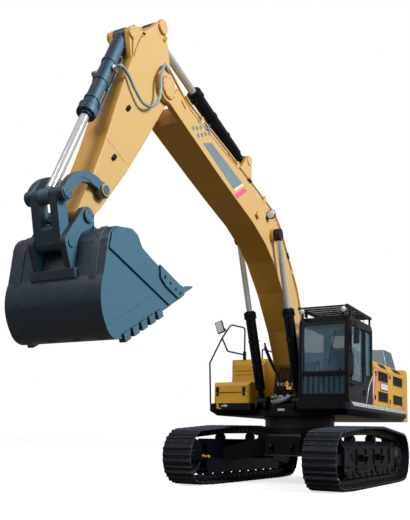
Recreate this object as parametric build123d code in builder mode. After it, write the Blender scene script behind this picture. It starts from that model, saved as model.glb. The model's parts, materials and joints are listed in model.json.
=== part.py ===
"""Crawler excavator of the 50 tonne class, as separate pieces in one frame.

Millimetres. +X forward, +Y machine left, +Z up; the origin lies on the ground under the slewing
axis. The boom, arm and bucket stand raised, with the bucket curled in.
"""
from math import atan2, cos, degrees, hypot, radians, sin
import os

from build123d import *

os.makedirs("parts", exist_ok=True)

# ---------------------------------------------------------------- driving dimensions
SIDES = (("left", 1), ("right", -1))
FIT = 0.3  # gap between a pin and its bore, and between seated faces
RUN = 5.0  # gap between pieces that move past each other

# undercarriage
GAUGE = 2740.0
SHOE_W = 600.0
SHOE_COUNT = 54
SHOE_T = 16.0
GROUSER_H = 34.0
LINK_H = 125.0
CHAIN_W = 180.0
WHEELBASE = 4370.0
WHEEL_R = 350.0
WHEEL_LIFT = 20.0
ROLLER_R = 105.0
ROLLER_W = 230.0
ROLLER_COUNT = 9
ROLLER_SPAN = 3300.0
CARRIER_R = 80.0
CARRIERS = ((950.0, 985.0), (-480.0, 1010.0))  # x, top of the roller
FRAME_W = 320.0
FRAME_Z0 = 410.0
FRAME_SHOULDER = 745.0  # where the girder's roof begins
FRAME_Z1 = 880.0
GUARD_T = 25.0
SLEW_R = 720.0
SLEW_Z0 = 1120.0
SLEW_Z1 = 1290.0
CARBODY_Z0 = 560.0

# upperstructure
DECK_Z0 = 1350.0
DECK_Z1 = 1590.0
BODY_HALF = 1500.0
DECK_HALF = BODY_HALF + 60  # left side, under the cab
TANK_OUT = 65 - BODY_HALF  # outer side of the tanks and the toolbox
DECK_REAR = -2950.0
LEFT_FRONT = 1600.0
RIGHT_FRONT = 1250.0
WELL_HALF = 560.0
TAIL_R = 3660.0
WEIGHT_Z0 = 1350.0
HOOD_Z1 = 2580.0
SHOULDER_W, SHOULDER_H = 140.0, 170.0  # sloped edge between the housing's side and top
HOOD_FRONT = -620.0
HOOD_KNEE = (-215.0, 2180.0)  # x, z where the housing's front edge starts to lean back
SKIN = 30.0

# cab
CAB_X0 = 0.0
CAB_X1 = 1600.0
CAB_Y0 = 590.0
CAB_Y1 = DECK_HALF
CAB_Z1 = 3170.0
CAB_WALL = 60.0
WAIST_Z = 2110.0
PANE_T = 8.0

# working equipment: pin places
FOOT = (371.0, 2252.0)
BOOM_L = 6520.0
STRETCH = BOOM_L / 6520  # places along the boom follow its length
BOOM_LEAN = 32.77
BOOM_HALF = 270.0
ARM_L = 2880.0
ARM_LEAN = -55.2
ARM_HALF = 190.0
BUCKET_HALF = 700.0
RAM_FOOT = (1020.0, 1620.0)
RAM_Y = 400.0
RAM_EYE = (2810.0 * STRETCH, 1045.0)  # in the boom's frame
ARM_RAM_FOOT = (4100.0 * STRETCH, 1600.0)  # in the boom's frame
ARM_REAR = (-680.0, 570.0)  # in the arm's frame
BUCKET_RAM_FOOT = (80.0, 865.0)  # in the arm's frame
ROCKER_FOOT = (2390.0, 0.0)  # in the arm's frame
ROCKER_EYE = (2966.0, 399.0)  # in the arm's frame
LINK_EYE = (3345.0, 0.0)  # in the arm's frame
PIN_R = 55.0


# ---------------------------------------------------------------- places
def side_plane(place, lean=0.0, y=0.0):
    """Upright plane along the machine; its own X leans up by lean, its own Y points up."""
    run = radians(lean)
    return Plane(origin=(place[0], y, place[1]), x_dir=(cos(run), 0, sin(run)), z_dir=(0, -1, 0))


def along(place, lean, spot):
    """Machine x, z of a spot given in a leaning frame that starts at place."""
    c, s = cos(radians(lean)), sin(radians(lean))
    return (place[0] + c * spot[0] - s * spot[1], place[1] + s * spot[0] + c * spot[1])


def reach(start, end):
    """Length and lean of the line from one place to another."""
    return hypot(end[0] - start[0], end[1] - start[1]), degrees(
        atan2(end[1] - start[1], end[0] - start[0])
    )


TIP = along(FOOT, BOOM_LEAN, (BOOM_L, 0))
BUCKET_PIN = along(TIP, ARM_LEAN, (ARM_L, 0))
WHEEL_Z = SHOE_T + GROUSER_H + LINK_H + WHEEL_R + WHEEL_LIFT
RAIL_Z = SHOE_T + GROUSER_H + LINK_H


# ---------------------------------------------------------------- shapes used many times
def slab(plane, points, half, mode=Mode.ADD):
    """Flat outline made thick by half to each side of its plane."""
    with BuildSketch(plane) as face:
        with BuildLine():
            Polyline(*points, close=True)
        make_face()
    extrude(face.sketch, amount=half, both=True, mode=mode)


def disc(plane, spot, radius, half, mode=Mode.ADD):
    """Round boss or bore across the plane."""
    with BuildSketch(plane) as face:
        with Locations(spot):
            Circle(radius)
    extrude(face.sketch, amount=half, both=True, mode=mode)


def strap(plane, bosses, half, mode=Mode.ADD):
    """Plate drawn tight around bosses (x, y, radius)."""
    with BuildSketch(plane) as face:
        for x, y, radius in bosses:
            with Locations((x, y)):
                Circle(radius)
        make_hull()
    extrude(face.sketch, amount=half, both=True, mode=mode)


def block(x, y, z, mode=Mode.ADD):
    """Box between three pairs of limits."""
    with Locations(((x[0] + x[1]) / 2, (y[0] + y[1]) / 2, (z[0] + z[1]) / 2)):
        Box(x[1] - x[0], y[1] - y[0], z[1] - z[0], mode=mode)


def drawn(points, x0, x1, mode=Mode.ADD):
    """Section across the machine (y, z) drawn out along it from x0 to x1."""
    with BuildSketch(Plane(origin=(x0, 0, 0), x_dir=(0, 1, 0), z_dir=(1, 0, 0))) as section:
        with BuildLine():
            Polyline(*points, close=True)
        make_face()
    extrude(section.sketch, amount=x1 - x0, mode=mode)


def turned(plane, outline, mode=Mode.ADD):
    """Outline (along the axis, radius) revolved about the plane's own X."""
    with BuildSketch(plane) as face:
        with BuildLine():
            Polyline(*outline, close=True)
        make_face()
    revolve(face.sketch, axis=Axis(plane.origin, plane.x_dir), mode=mode)


def tube(points, radius, bend):
    """Round bar along straight runs with rounded corners."""
    with BuildLine() as route:
        FilletPolyline(*points, radius=bend)
    with BuildSketch(Plane(origin=route.line @ 0, z_dir=route.line % 0)) as ring:
        Circle(radius)
    sweep(ring.sketch, path=route.line)


HINGE_R, HINGE_PIN, HINGE_L, HINGE_OUT, LEAF_T = 11.0, 6.0, 50.0, 15.0, 8.0


def hinge_place(spot, toward, outward):
    """Frame on a hinge's axis: X toward the door, Y away from its outer face."""
    return Plane(origin=spot, x_dir=toward, z_dir=Vector(*toward).cross(Vector(*outward)))


def hinge_leaf(place):
    """Knuckle and leaf on the moving panel."""
    with Locations(place.location):
        Cylinder(HINGE_R, HINGE_L)
    with Locations(place.location * Location((HINGE_L / 2, LEAF_T / 2 - HINGE_OUT, 0))):
        Box(HINGE_L, LEAF_T, HINGE_L)
    with Locations(place.location):
        Cylinder(HINGE_PIN + FIT, HINGE_L + 2, mode=Mode.SUBTRACT)


def hinge_lugs(place, drop=0.0):
    """Pin and its two lugs on what carries the panel, drop further down to their seat."""
    lug = HINGE_L / 2
    for end in (1, -1):
        z = end * (HINGE_L / 2 + FIT + lug / 2)
        with Locations(place.location * Location((0, 0, z))):
            Cylinder(HINGE_R, lug)
        with Locations(
            place.location * Location((-HINGE_L / 2 - LEAF_T, (LEAF_T - drop) / 2 - HINGE_OUT, z))
        ):
            Box(HINGE_L, LEAF_T + drop, lug)
    with Locations(place.location):
        Cylinder(HINGE_PIN, HINGE_L + 2 * lug)


def finish(piece, name):
    """Name a sub-part and write it."""
    piece.part.label = name
    export_step(piece.part, f"parts/{name}.step")


# ---------------------------------------------------------------- track loop
# the loop's wheels: x, z, radius under the links
LOOP_WHEELS = (
    (WHEELBASE / 2, WHEEL_Z, WHEEL_R),
    (-WHEELBASE / 2, WHEEL_Z, WHEEL_R),
    (ROLLER_SPAN / 2, RAIL_Z + ROLLER_R, ROLLER_R),
    (-ROLLER_SPAN / 2, RAIL_Z + ROLLER_R, ROLLER_R),
) + tuple((x, top - CARRIER_R, CARRIER_R) for x, top in CARRIERS)

# one shoe: share of the pitch, share of the grouser's height over the plate
SHOE_PROFILE = (
    (0.04, 1.0), (0.12, 0.0), (0.46, 0.0), (0.5, 0.9), (0.54, 0.0), (0.88, 0.0), (0.96, 1.0),
)
SHOE_GAP = -0.35  # height of the gap between two shoes, on the same scale


def loop_face(y, grow):
    """Closed face around the wheels, let out by grow."""
    with BuildSketch(side_plane((0, 0), y=y), mode=Mode.PRIVATE) as face:
        for x, z, radius in LOOP_WHEELS:
            with Locations((x, z)):
                Circle(radius + grow)
        make_hull()
    return face.sketch


def shoe_points(grow):
    """Points of the shoes' outer outline along the loop let out by grow."""
    loop = loop_face(0, grow).face().outer_wire()
    middle = Vector(0, 0, WHEEL_Z)
    points = []
    for shoe in range(SHOE_COUNT):
        for share, height in SHOE_PROFILE + ((1.0, SHOE_GAP),):
            u = ((shoe + share) / SHOE_COUNT) % 1.0
            spot = loop.position_at(u)
            run = loop.tangent_at(u)
            out = Vector(run.Z, 0, -run.X)
            if out.dot(spot - middle) < 0:
                out = out * -1
            spot = spot + out * (SHOE_T + height * GROUSER_H)
            points.append((spot.X, spot.Z))
    return points


SHOE_OUTLINE = shoe_points(LINK_H)

for side, sign in SIDES:
    middle_y = sign * GAUGE / 2
    with BuildPart() as track:
        slab(side_plane((0, 0), y=middle_y), SHOE_OUTLINE, SHOE_W / 2)
        extrude(loop_face(middle_y, LINK_H), amount=SHOE_W / 2, both=True, mode=Mode.SUBTRACT)
        extrude(loop_face(middle_y, LINK_H), amount=CHAIN_W / 2, both=True)
        extrude(loop_face(middle_y, FIT), amount=CHAIN_W / 2, both=True, mode=Mode.SUBTRACT)
    finish(track, f"track_{side}")

# ---------------------------------------------------------------- wheels of the tracks
IDLER_W = 120.0
IDLER_RIM = 22.0
HUB_R = 110.0
with BuildPart() as idlers:
    for side, sign in SIDES:
        plane = side_plane((WHEELBASE / 2, WHEEL_Z), y=sign * GAUGE / 2)
        disc(plane, (0, 0), WHEEL_R, IDLER_W / 2)
        for face in (1, -1):
            dish = side_plane((WHEELBASE / 2, WHEEL_Z), y=sign * GAUGE / 2 + face * IDLER_W / 2)
            disc(dish, (0, 0), WHEEL_R - 2 * IDLER_RIM, IDLER_RIM, mode=Mode.SUBTRACT)
        disc(plane, (0, 0), HUB_R, IDLER_W / 2 + 2 * RUN)
finish(idlers, "idlers")

TOOTH_COUNT = 21
TOOTH_H = 45.0
DRIVE_R = 235.0
SPROCKET_W = 80.0
DRIVE_OUT = 190.0
MOTOR_R = 170.0
# one tooth: share of the tooth pitch, share of the tooth height under the links
TOOTH_PROFILE = ((0.0, 0.0), (0.3, 1.0), (0.5, 1.0), (0.8, 0.0))


def sprocket_points():
    """Outline of the toothed ring, tips just under the links."""
    points = []
    for tooth in range(TOOTH_COUNT):
        for share, height in TOOTH_PROFILE:
            turn = radians(360 * (tooth + share) / TOOTH_COUNT)
            radius = WHEEL_R - TOOTH_H * (1 - height)
            points.append((radius * cos(turn), radius * sin(turn)))
    return points


with BuildPart() as sprockets:
    for side, sign in SIDES:
        place = (-WHEELBASE / 2, WHEEL_Z)
        middle_y = sign * GAUGE / 2
        slab(side_plane(place, y=middle_y), sprocket_points(), SPROCKET_W / 2)
        plane = Plane(origin=(place[0], middle_y, place[1]), x_dir=(0, sign, 0), z_dir=(0, 0, 1))
        turned(
            plane,
            ((-FRAME_W / 2, 0), (-FRAME_W / 2, MOTOR_R), (-SPROCKET_W / 2, DRIVE_R),
             (DRIVE_OUT * 0.7, DRIVE_R), (DRIVE_OUT, DRIVE_R * 0.75), (DRIVE_OUT, 0)),
        )
finish(sprockets, "sprockets")

ROLLER_RIM = 16.0
SHAFT_R = 32.0
with BuildPart() as track_rollers:
    for side, sign in SIDES:
        for index in range(ROLLER_COUNT):
            x = ROLLER_SPAN * (index / (ROLLER_COUNT - 1) - 0.5)
            plane = Plane(
                origin=(x, sign * GAUGE / 2, RAIL_Z + ROLLER_R), x_dir=(0, 1, 0), z_dir=(0, 0, 1)
            )
            half = ROLLER_W / 2
            turned(
                plane,
                ((-half, 0), (-half, ROLLER_R), (-half * 0.35, ROLLER_R),
                 (-half * 0.35, ROLLER_R - 2 * ROLLER_RIM), (half * 0.35, ROLLER_R - 2 * ROLLER_RIM),
                 (half * 0.35, ROLLER_R), (half, ROLLER_R), (half, 0)),
            )
finish(track_rollers, "track_rollers")

CARRIER_W = 150.0
with BuildPart() as carrier_rollers:
    for side, sign in SIDES:
        for x, top in CARRIERS:
            plane = side_plane((x, top - CARRIER_R), y=sign * GAUGE / 2)
            disc(plane, (0, 0), CARRIER_R, CARRIER_W / 2)
finish(carrier_rollers, "carrier_rollers")

# ---------------------------------------------------------------- track frames
YOKE_T = 38.0
YOKE_H = 95.0
for side, sign in SIDES:
    middle_y = sign * GAUGE / 2
    plane = side_plane((0, 0), y=middle_y)
    back = -WHEELBASE / 2 + WHEEL_R + LINK_H / 2
    front = WHEELBASE / 2 - WHEEL_R - LINK_H / 2
    with BuildPart() as track_frame:
        # girder with a roof that sheds soil
        drawn(
            ((middle_y - FRAME_W / 2, FRAME_Z0), (middle_y + FRAME_W / 2, FRAME_Z0),
             (middle_y + FRAME_W / 2, FRAME_SHOULDER), (middle_y + FRAME_W / 6, FRAME_Z1),
             (middle_y - FRAME_W / 6, FRAME_Z1), (middle_y - FRAME_W / 2, FRAME_SHOULDER)),
            back, front,
        )
        # side plates that carry the rollers
        for face in (1, -1):
            y = middle_y + face * (FRAME_W / 2 - GUARD_T / 2)
            slab(
                side_plane((0, 0), y=y),
                ((-ROLLER_SPAN / 2 - 160, FRAME_Z0), (-ROLLER_SPAN / 2 - 90, RAIL_Z + 40),
                 (ROLLER_SPAN / 2 + 90, RAIL_Z + 40), (ROLLER_SPAN / 2 + 160, FRAME_Z0)),
                GUARD_T / 2,
            )
            # yoke arms to the idler's shaft
            arm_y = middle_y + face * (IDLER_W / 2 + 2 * RUN + YOKE_T / 2 + FIT)
            strap(
                side_plane((0, WHEEL_Z), y=arm_y),
                ((front - 250, 0, YOKE_H), (WHEELBASE / 2, 0, YOKE_H)),
                YOKE_T / 2,
            )
        # rear bracket that holds the travel motor
        bracket_y = middle_y - sign * (FRAME_W / 2 + GUARD_T / 2 + FIT)
        strap(
            side_plane((0, 0), y=bracket_y),
            ((-WHEELBASE / 2, WHEEL_Z, DRIVE_R), (back + 320, FRAME_Z0 + 130, 120)),
            GUARD_T / 2,
        )
        slab(
            side_plane((0, 0), y=middle_y - sign * (FRAME_W / 2 - FIT)),
            ((back + 30, FRAME_Z0 + 20), (back + 400, FRAME_Z0 + 20),
             (back + 400, FRAME_SHOULDER - 20), (back + 30, FRAME_SHOULDER - 20)),
            GUARD_T,
        )
        # room and posts for the carrier rollers
        for x, top in CARRIERS:
            room = side_plane((x, top - CARRIER_R), y=middle_y)
            disc(room, (0, 0), CARRIER_R + 2 * RUN, CARRIER_W / 2 + FIT, mode=Mode.SUBTRACT)
            for face in (1, -1):
                y = middle_y + face * (CARRIER_W / 2 + FIT + GUARD_T / 2)
                strap(
                    side_plane((0, 0), y=y),
                    ((x, top - CARRIER_R, SHAFT_R * 1.4), (x, FRAME_SHOULDER, SHAFT_R * 2)),
                    GUARD_T / 2,
                )
    finish(track_frame, f"track_frame_{side}")

# ---------------------------------------------------------------- carbody
LEG_X = 900.0
LEG_Y = GAUGE / 2 - FRAME_W / 2 - FIT
with BuildPart() as carbody:
    with BuildSketch(Plane.XY.offset(CARBODY_Z0)):
        RegularPolygon(radius=1000, side_count=8, rotation=22.5)
    with BuildSketch(Plane.XY.offset(SLEW_Z0 - 130)):
        RegularPolygon(radius=850, side_count=8, rotation=22.5)
    loft()
    with Locations((0, 0, SLEW_Z0 - 65 - FIT / 2)):
        Cylinder(SLEW_R + 60, 130 - FIT)
    # legs, deep at the middle and shallow at the track frames
    for sign_x in (1, -1):
        for side, sign in SIDES:
            with BuildSketch(Plane.XZ.offset(-sign * 420)) as root:
                with Locations((sign_x * 380, (CARBODY_Z0 + SLEW_Z0 - 130) / 2)):
                    Rectangle(420, SLEW_Z0 - 130 - CARBODY_Z0 - 20)
            with BuildSketch(Plane.XZ.offset(-sign * LEG_Y)) as end:
                with Locations((sign_x * LEG_X, (FRAME_Z0 + FRAME_SHOULDER) / 2)):
                    Rectangle(430, 0.7 * (FRAME_SHOULDER - FRAME_Z0))
            loft([root.sketch.face(), end.sketch.face()])
finish(carbody, "carbody")

with BuildPart() as slew_bearing:
    with BuildSketch(Plane.XY.offset(SLEW_Z0)):
        Circle(SLEW_R)
        Circle(SLEW_R - 170, mode=Mode.SUBTRACT)
    extrude(amount=SLEW_Z1 - SLEW_Z0)
finish(slew_bearing, "slew_bearing")

# ---------------------------------------------------------------- revolving frame
EDGE_SLOPE = 110.0
EAR_T = 60.0
EAR_Y = BOOM_HALF + RUN + EAR_T / 2
RAM_EYE_HALF = 60.0
RAM_BOSS_R = 118.0
CHEEK_T = 35.0
with BuildPart() as revolving_frame:
    with Locations((0, 0, SLEW_Z1 + FIT + (DECK_Z0 - SLEW_Z1) / 2)):
        Cylinder(SLEW_R + 20, DECK_Z0 - SLEW_Z1)
    # left deck, right deck and the middle box in one outline seen from above
    with BuildSketch(Plane.XY.offset(DECK_Z0)) as plan:
        with BuildLine():
            Polyline(
                (DECK_REAR, -BODY_HALF), (RIGHT_FRONT - 60, -BODY_HALF),
                (RIGHT_FRONT, -BODY_HALF + 60), (RIGHT_FRONT, -WELL_HALF),
                (RAM_FOOT[0] - 20, -WELL_HALF), (RAM_FOOT[0] - 20, WELL_HALF),
                (LEFT_FRONT, WELL_HALF), (LEFT_FRONT, DECK_HALF - 60),
                (LEFT_FRONT - 60, DECK_HALF), (DECK_REAR, DECK_HALF), close=True,
            )
        make_face()
    extrude(plan.sketch, amount=DECK_Z1 - DECK_Z0)
    # outer edges slope in below
    for edge in (-BODY_HALF, DECK_HALF):
        inward = EDGE_SLOPE if edge < 0 else -EDGE_SLOPE
        drawn(
            ((edge, DECK_Z0 - 1), (edge + inward, DECK_Z0 - 1), (edge, DECK_Z0 + EDGE_SLOPE)),
            DECK_REAR - 1, LEFT_FRONT + 1, mode=Mode.SUBTRACT,
        )
    # underside rises toward the front corners
    for low, high, front in ((-BODY_HALF, -WELL_HALF, RIGHT_FRONT), (WELL_HALF, DECK_HALF, LEFT_FRONT)):
        slab(
            side_plane((0, 0), y=(low + high) / 2),
            ((front + 1, DECK_Z0 - 1), (front - 180, DECK_Z0 - 1), (front + 1, DECK_Z0 + 110)),
            (high - low) / 2 + 1,
            mode=Mode.SUBTRACT,
        )
    # ears of the boom's foot, and cheeks to both sides of the boom rams' feet
    for side, sign in SIDES:
        plane = side_plane((0, 0), y=sign * EAR_Y)
        strap(
            plane,
            ((FOOT[0], FOOT[1], 150), (FOOT[0] - 420, DECK_Z1, 60), (FOOT[0] + 260, DECK_Z1, 60)),
            EAR_T / 2,
        )
        strap(
            plane,
            ((RAM_FOOT[0], RAM_FOOT[1], RAM_BOSS_R), (RAM_FOOT[0] - 420, DECK_Z1 - 40, 80),
             (RAM_FOOT[0] + 60, DECK_Z1 - 70, 60)),
            EAR_T / 2,
        )
        disc(side_plane(FOOT, y=sign * EAR_Y), (0, 0), PIN_R + FIT, EAR_T, mode=Mode.SUBTRACT)
        strap(
            side_plane((0, 0), y=sign * (RAM_Y + RAM_EYE_HALF + RUN + CHEEK_T / 2)),
            ((RAM_FOOT[0], RAM_FOOT[1], 105), (RAM_FOOT[0] - 80, DECK_Z1 - 70, 60),
             (RAM_FOOT[0] + 80, DECK_Z1 - 70, 60)),
            CHEEK_T / 2,
        )
    # pockets in the deck for the rams' eyes, with the pins across them
    for side, sign in SIDES:
        pocket = side_plane(RAM_FOOT, y=sign * RAM_Y)
        disc(pocket, (0, 0), RAM_BOSS_R + 3 * RUN, RAM_EYE_HALF + RUN, mode=Mode.SUBTRACT)
        disc(pocket, (0, 0), PIN_R, RAM_EYE_HALF + RUN + CHEEK_T + 12)
finish(revolving_frame, "revolving_frame")

# ---------------------------------------------------------------- counterweight
with BuildPart() as counterweight:
    with BuildSketch(Plane.XY.offset(WEIGHT_Z0)) as plan:
        Circle(TAIL_R)
        with Locations((DECK_REAR - FIT + TAIL_R, 0)):
            Rectangle(2 * TAIL_R, 3 * TAIL_R, mode=Mode.SUBTRACT)
        with Locations((0, 2 * TAIL_R + BODY_HALF), (0, -2 * TAIL_R - BODY_HALF)):
            Rectangle(4 * TAIL_R, 4 * TAIL_R, mode=Mode.SUBTRACT)
    extrude(plan.sketch, amount=HOOD_Z1 - WEIGHT_Z0)
    top_edges = counterweight.edges().group_by(Axis.Z)[-1].sort_by(Axis.X)
    fillet(top_edges[:1], radius=140)
    # lifting eye bores in the top
    with Locations((DECK_REAR - 300, 500, HOOD_Z1), (DECK_REAR - 300, -500, HOOD_Z1)):
        Hole(radius=35, depth=160)
finish(counterweight, "counterweight")

# ---------------------------------------------------------------- engine and its housing
DOOR_T = 35.0
DOOR_Z0 = DECK_Z1 + 40
DOOR_Z1 = HOOD_Z1 - SHOULDER_H - 20
DOOR_FRONT = ((-110.0, DOOR_Z0), (-285.0, 2190.0), (-430.0, DOOR_Z1))  # leaning edge by the cab
# side doors of the housing: node, side, front x, rear x
BODY_DOORS = (
    ("side_door_front", 1, -110.0, -1500.0),
    ("side_door_rear", 1, -1560.0, -2900.0),
    ("pump_door", -1, -1700.0, -2900.0),
)
LID_X0, LID_X1, LID_HALF, LID_H = -2920.0, -2000.0, BODY_HALF - 160, 400.0
LID_SLOPE = 85.0
TANK_X0, TANK_X1, TANK_Z1 = -650.0, 420.0, 2580.0
BOX_X1, BOX_Z1, BOX_SPLIT = 1180.0, 2030.0, 1815.0
BOX_ROUND = 90.0
TANK_IN = -620.0
DOOR_X0, DOOR_X1 = 620.0, 1500.0
DOOR_FOOT = DECK_Z1 + 70
LEFT, RIGHT, FORE, AFT, UP = (0, 1, 0), (0, -1, 0), (1, 0, 0), (-1, 0, 0), (0, 0, 1)

# hinge axes of the panels, two hinges each
HINGES = {
    name: [
        hinge_place((rear - RUN / 2, sign * (BODY_HALF + HINGE_OUT), z), FORE, LEFT if sign > 0 else RIGHT)
        for z in (DOOR_Z0 + 60, DOOR_Z1 - 60)
    ]
    for name, sign, front, rear in BODY_DOORS
}
HINGES["hood_lid"] = [
    hinge_place((LID_X1 + HINGE_R + RUN, y, HOOD_Z1 + RUN + HINGE_OUT), AFT, UP)
    for y in (-LID_HALF + 300, LID_HALF - 300)
]
HINGES["toolbox_lid"] = [
    hinge_place((TANK_X1 + HINGE_R + RUN, y, BOX_Z1 + HINGE_OUT), FORE, UP)
    for y in (TANK_OUT + 200, TANK_IN - 200)
]
HINGES["cab_door"] = [
    hinge_place((DOOR_X0 - RUN / 2, CAB_Y1 + HINGE_OUT, z), FORE, LEFT)
    for z in (DOOR_FOOT + 150, CAB_Z1 - 300)
]
with BuildPart() as engine:
    block((-2650, -1750), (-900, 900), (DECK_Z1 + FIT, HOOD_Z1 - SHOULDER_H - 30))
    fillet(engine.edges().filter_by(Axis.Z), radius=60)
finish(engine, "engine")

with BuildPart() as engine_hood:
    # section across the machine: upright sides and sloped shoulders
    drawn(
        ((-BODY_HALF, DECK_Z1 + FIT), (BODY_HALF, DECK_Z1 + FIT), (BODY_HALF, HOOD_Z1 - SHOULDER_H),
         (BODY_HALF - SHOULDER_W, HOOD_Z1), (-BODY_HALF + SHOULDER_W, HOOD_Z1),
         (-BODY_HALF, HOOD_Z1 - SHOULDER_H)),
        DECK_REAR, CAB_X0 - 40,
    )
    # the left front edge leans back behind the cab
    slab(
        side_plane((0, 0), y=0),
        ((CAB_X0 - 39, DECK_Z1 - 1), (CAB_X0 - 45, DECK_Z1 - 1), HOOD_KNEE, (HOOD_FRONT, HOOD_Z1 + 1),
         (CAB_X0 - 39, HOOD_Z1 + 1)),
        BODY_HALF + 1, mode=Mode.SUBTRACT,
    )
    # room for the tanks on the right and for the boom's foot in the middle
    block((-1650, 1), (-BODY_HALF - 1, -WELL_HALF), (DECK_Z1 - 1, HOOD_Z1 + 1), mode=Mode.SUBTRACT)
    block((-1050, 1), (-WELL_HALF - 1, WELL_HALF), (DECK_Z1 - 1, HOOD_Z1 + 1), mode=Mode.SUBTRACT)
    # hollow, open toward the deck
    block(
        (DECK_REAR + SKIN, -1650 - SKIN), (-BODY_HALF + DOOR_T + 20, BODY_HALF - DOOR_T - 20),
        (DECK_Z1 - 1, HOOD_Z1 - SHOULDER_H), mode=Mode.SUBTRACT,
    )
    block(
        (-1651 - SKIN, -1050 - SKIN), (-WELL_HALF + SKIN, BODY_HALF - DOOR_T - 20),
        (DECK_Z1 - 1, HOOD_Z1 - SHOULDER_H), mode=Mode.SUBTRACT,
    )
    block(
        (-1051 - SKIN, HOOD_FRONT - 100), (WELL_HALF + SKIN, BODY_HALF - DOOR_T - 20),
        (DECK_Z1 - 1, HOOD_Z1 - SHOULDER_H), mode=Mode.SUBTRACT,
    )
    # opening under the lid
    block(
        (LID_X0 + 80, LID_X1 - 80), (-LID_HALF + 80, LID_HALF - 80), (HOOD_Z1 - SHOULDER_H - 1, HOOD_Z1 + 1),
        mode=Mode.SUBTRACT,
    )
    # door openings
    for name, sign, front, rear in BODY_DOORS:
        block(
            (rear - RUN, front + RUN) if front < HOOD_FRONT else (rear - RUN, HOOD_FRONT),
            (BODY_HALF - DOOR_T - 21, BODY_HALF + 1) if sign > 0
            else (-BODY_HALF - 1, -BODY_HALF + DOOR_T + 21),
            (DOOR_Z0 - RUN, DOOR_Z1 + RUN), mode=Mode.SUBTRACT,
        )
    # the front door's lower corner runs on under the cab's rear edge
    slab(
        side_plane((0, 0), y=BODY_HALF - DOOR_T / 2 - 10),
        ((HOOD_FRONT - 1, DOOR_Z0 - RUN), (DOOR_FRONT[0][0] + RUN, DOOR_Z0 - RUN),
         (DOOR_FRONT[1][0] + RUN, DOOR_FRONT[1][1]), (DOOR_FRONT[2][0] + RUN, DOOR_Z1 + RUN),
         (HOOD_FRONT - 1, DOOR_Z1 + RUN)),
        DOOR_T / 2 + 11, mode=Mode.SUBTRACT,
    )
    for name, sign, front, rear in BODY_DOORS:
        for place in HINGES[name]:
            hinge_lugs(place)
    for place in HINGES["hood_lid"]:
        hinge_lugs(place, RUN)
finish(engine_hood, "engine_hood")

GRILLE_SLATS = 7
GRILLE_SPAN = {  # rear and front end of a door's grilles, from its rear edge
    "side_door_front": (50.0, 880.0), "side_door_rear": (100.0, 1000.0), "pump_door": (120.0, 900.0),
}
GRILLE_ROWS = ((80.0, 290.0), (510.0, 720.0))  # lower and upper edge over the door's lower edge


def louvre(sign, x0, x1, z0, z1):
    """Opening with sloping slats in a side door's outer face."""
    y0, y1 = BODY_HALF - DOOR_T, BODY_HALF
    block(
        (x0, x1), (y0 - 1, y1 + 1) if sign > 0 else (-y1 - 1, -y0 + 1), (z0, z1),
        mode=Mode.SUBTRACT,
    )
    pitch = (z1 - z0) / GRILLE_SLATS
    for slat in range(GRILLE_SLATS):
        z = z0 + (slat + 0.5) * pitch
        drawn(
            ((sign * (y1 - 24), z + pitch * 0.42), (sign * (y1 - 20), z + pitch * 0.48),
             (sign * (y1 - 2), z - pitch * 0.2), (sign * (y1 - 6), z - pitch * 0.28)),
            x0, x1,
        )


for name, sign, front, rear in BODY_DOORS:
    with BuildPart() as door:
        y = (BODY_HALF - DOOR_T, BODY_HALF) if sign > 0 else (-BODY_HALF, -BODY_HALF + DOOR_T)
        if name == "side_door_front":
            slab(
                side_plane((0, 0), y=(y[0] + y[1]) / 2),
                ((rear, DOOR_Z0),) + DOOR_FRONT + ((rear, DOOR_Z1),),
                DOOR_T / 2,
            )
        else:
            block((rear, front), y, (DOOR_Z0, DOOR_Z1))
        start, end = GRILLE_SPAN[name]
        for low, high in GRILLE_ROWS:
            louvre(sign, rear + start, rear + end, DOOR_Z0 + low, DOOR_Z0 + high)
        for place in HINGES[name]:
            hinge_leaf(place)
    finish(door, name)

with BuildPart() as hood_lid:
    with BuildSketch(Plane.XY.offset(HOOD_Z1 + RUN)) as low:
        with Locations(((LID_X0 + LID_X1) / 2, 0)):
            RectangleRounded(LID_X1 - LID_X0, 2 * LID_HALF, 60)
    with BuildSketch(Plane.XY.offset(HOOD_Z1 + LID_H)) as high:
        with Locations(((LID_X0 + LID_X1) / 2, 0)):
            RectangleRounded(LID_X1 - LID_X0 - 2 * LID_SLOPE, 2 * (LID_HALF - LID_SLOPE), 60)
    loft([low.sketch.face(), high.sketch.face()])
    offset(amount=-SKIN, openings=hood_lid.faces().sort_by(Axis.Z)[0])
    for place in HINGES["hood_lid"]:
        hinge_leaf(place)
finish(hood_lid, "hood_lid")

# ---------------------------------------------------------------- tanks and toolbox
with BuildPart() as fuel_tank:
    slab(
        side_plane((0, 0), y=(TANK_IN + TANK_OUT) / 2),
        ((TANK_X0, DECK_Z1 + FIT), (TANK_X1, DECK_Z1 + FIT), (TANK_X1, TANK_Z1 - 130),
         (TANK_X1 - 110, TANK_Z1), (TANK_X0, TANK_Z1)),
        (TANK_IN - TANK_OUT) / 2,
    )
    fillet(fuel_tank.edges().filter_by(Axis.Z).sort_by(Axis.Y)[:2], radius=130)
    fillet(fuel_tank.edges().filter_by(Axis.Z).sort_by(Axis.Y)[-2:], radius=50)
    # two pressed lines in the front
    for z in (2230.0, 2310.0):
        block((TANK_X1 - 12, TANK_X1 + 1), (TANK_OUT + 135, TANK_IN - 180), (z, z + 22), mode=Mode.SUBTRACT)
    for place in HINGES["toolbox_lid"]:
        hinge_lugs(place)
finish(fuel_tank, "fuel_tank")

with BuildPart() as hydraulic_tank:
    block((-1640, TANK_X0 - FIT), (TANK_OUT, TANK_IN), (DECK_Z1 + FIT, HOOD_Z1))
    fillet(hydraulic_tank.edges().filter_by(Axis.Z), radius=60)
finish(hydraulic_tank, "hydraulic_tank")

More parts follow.
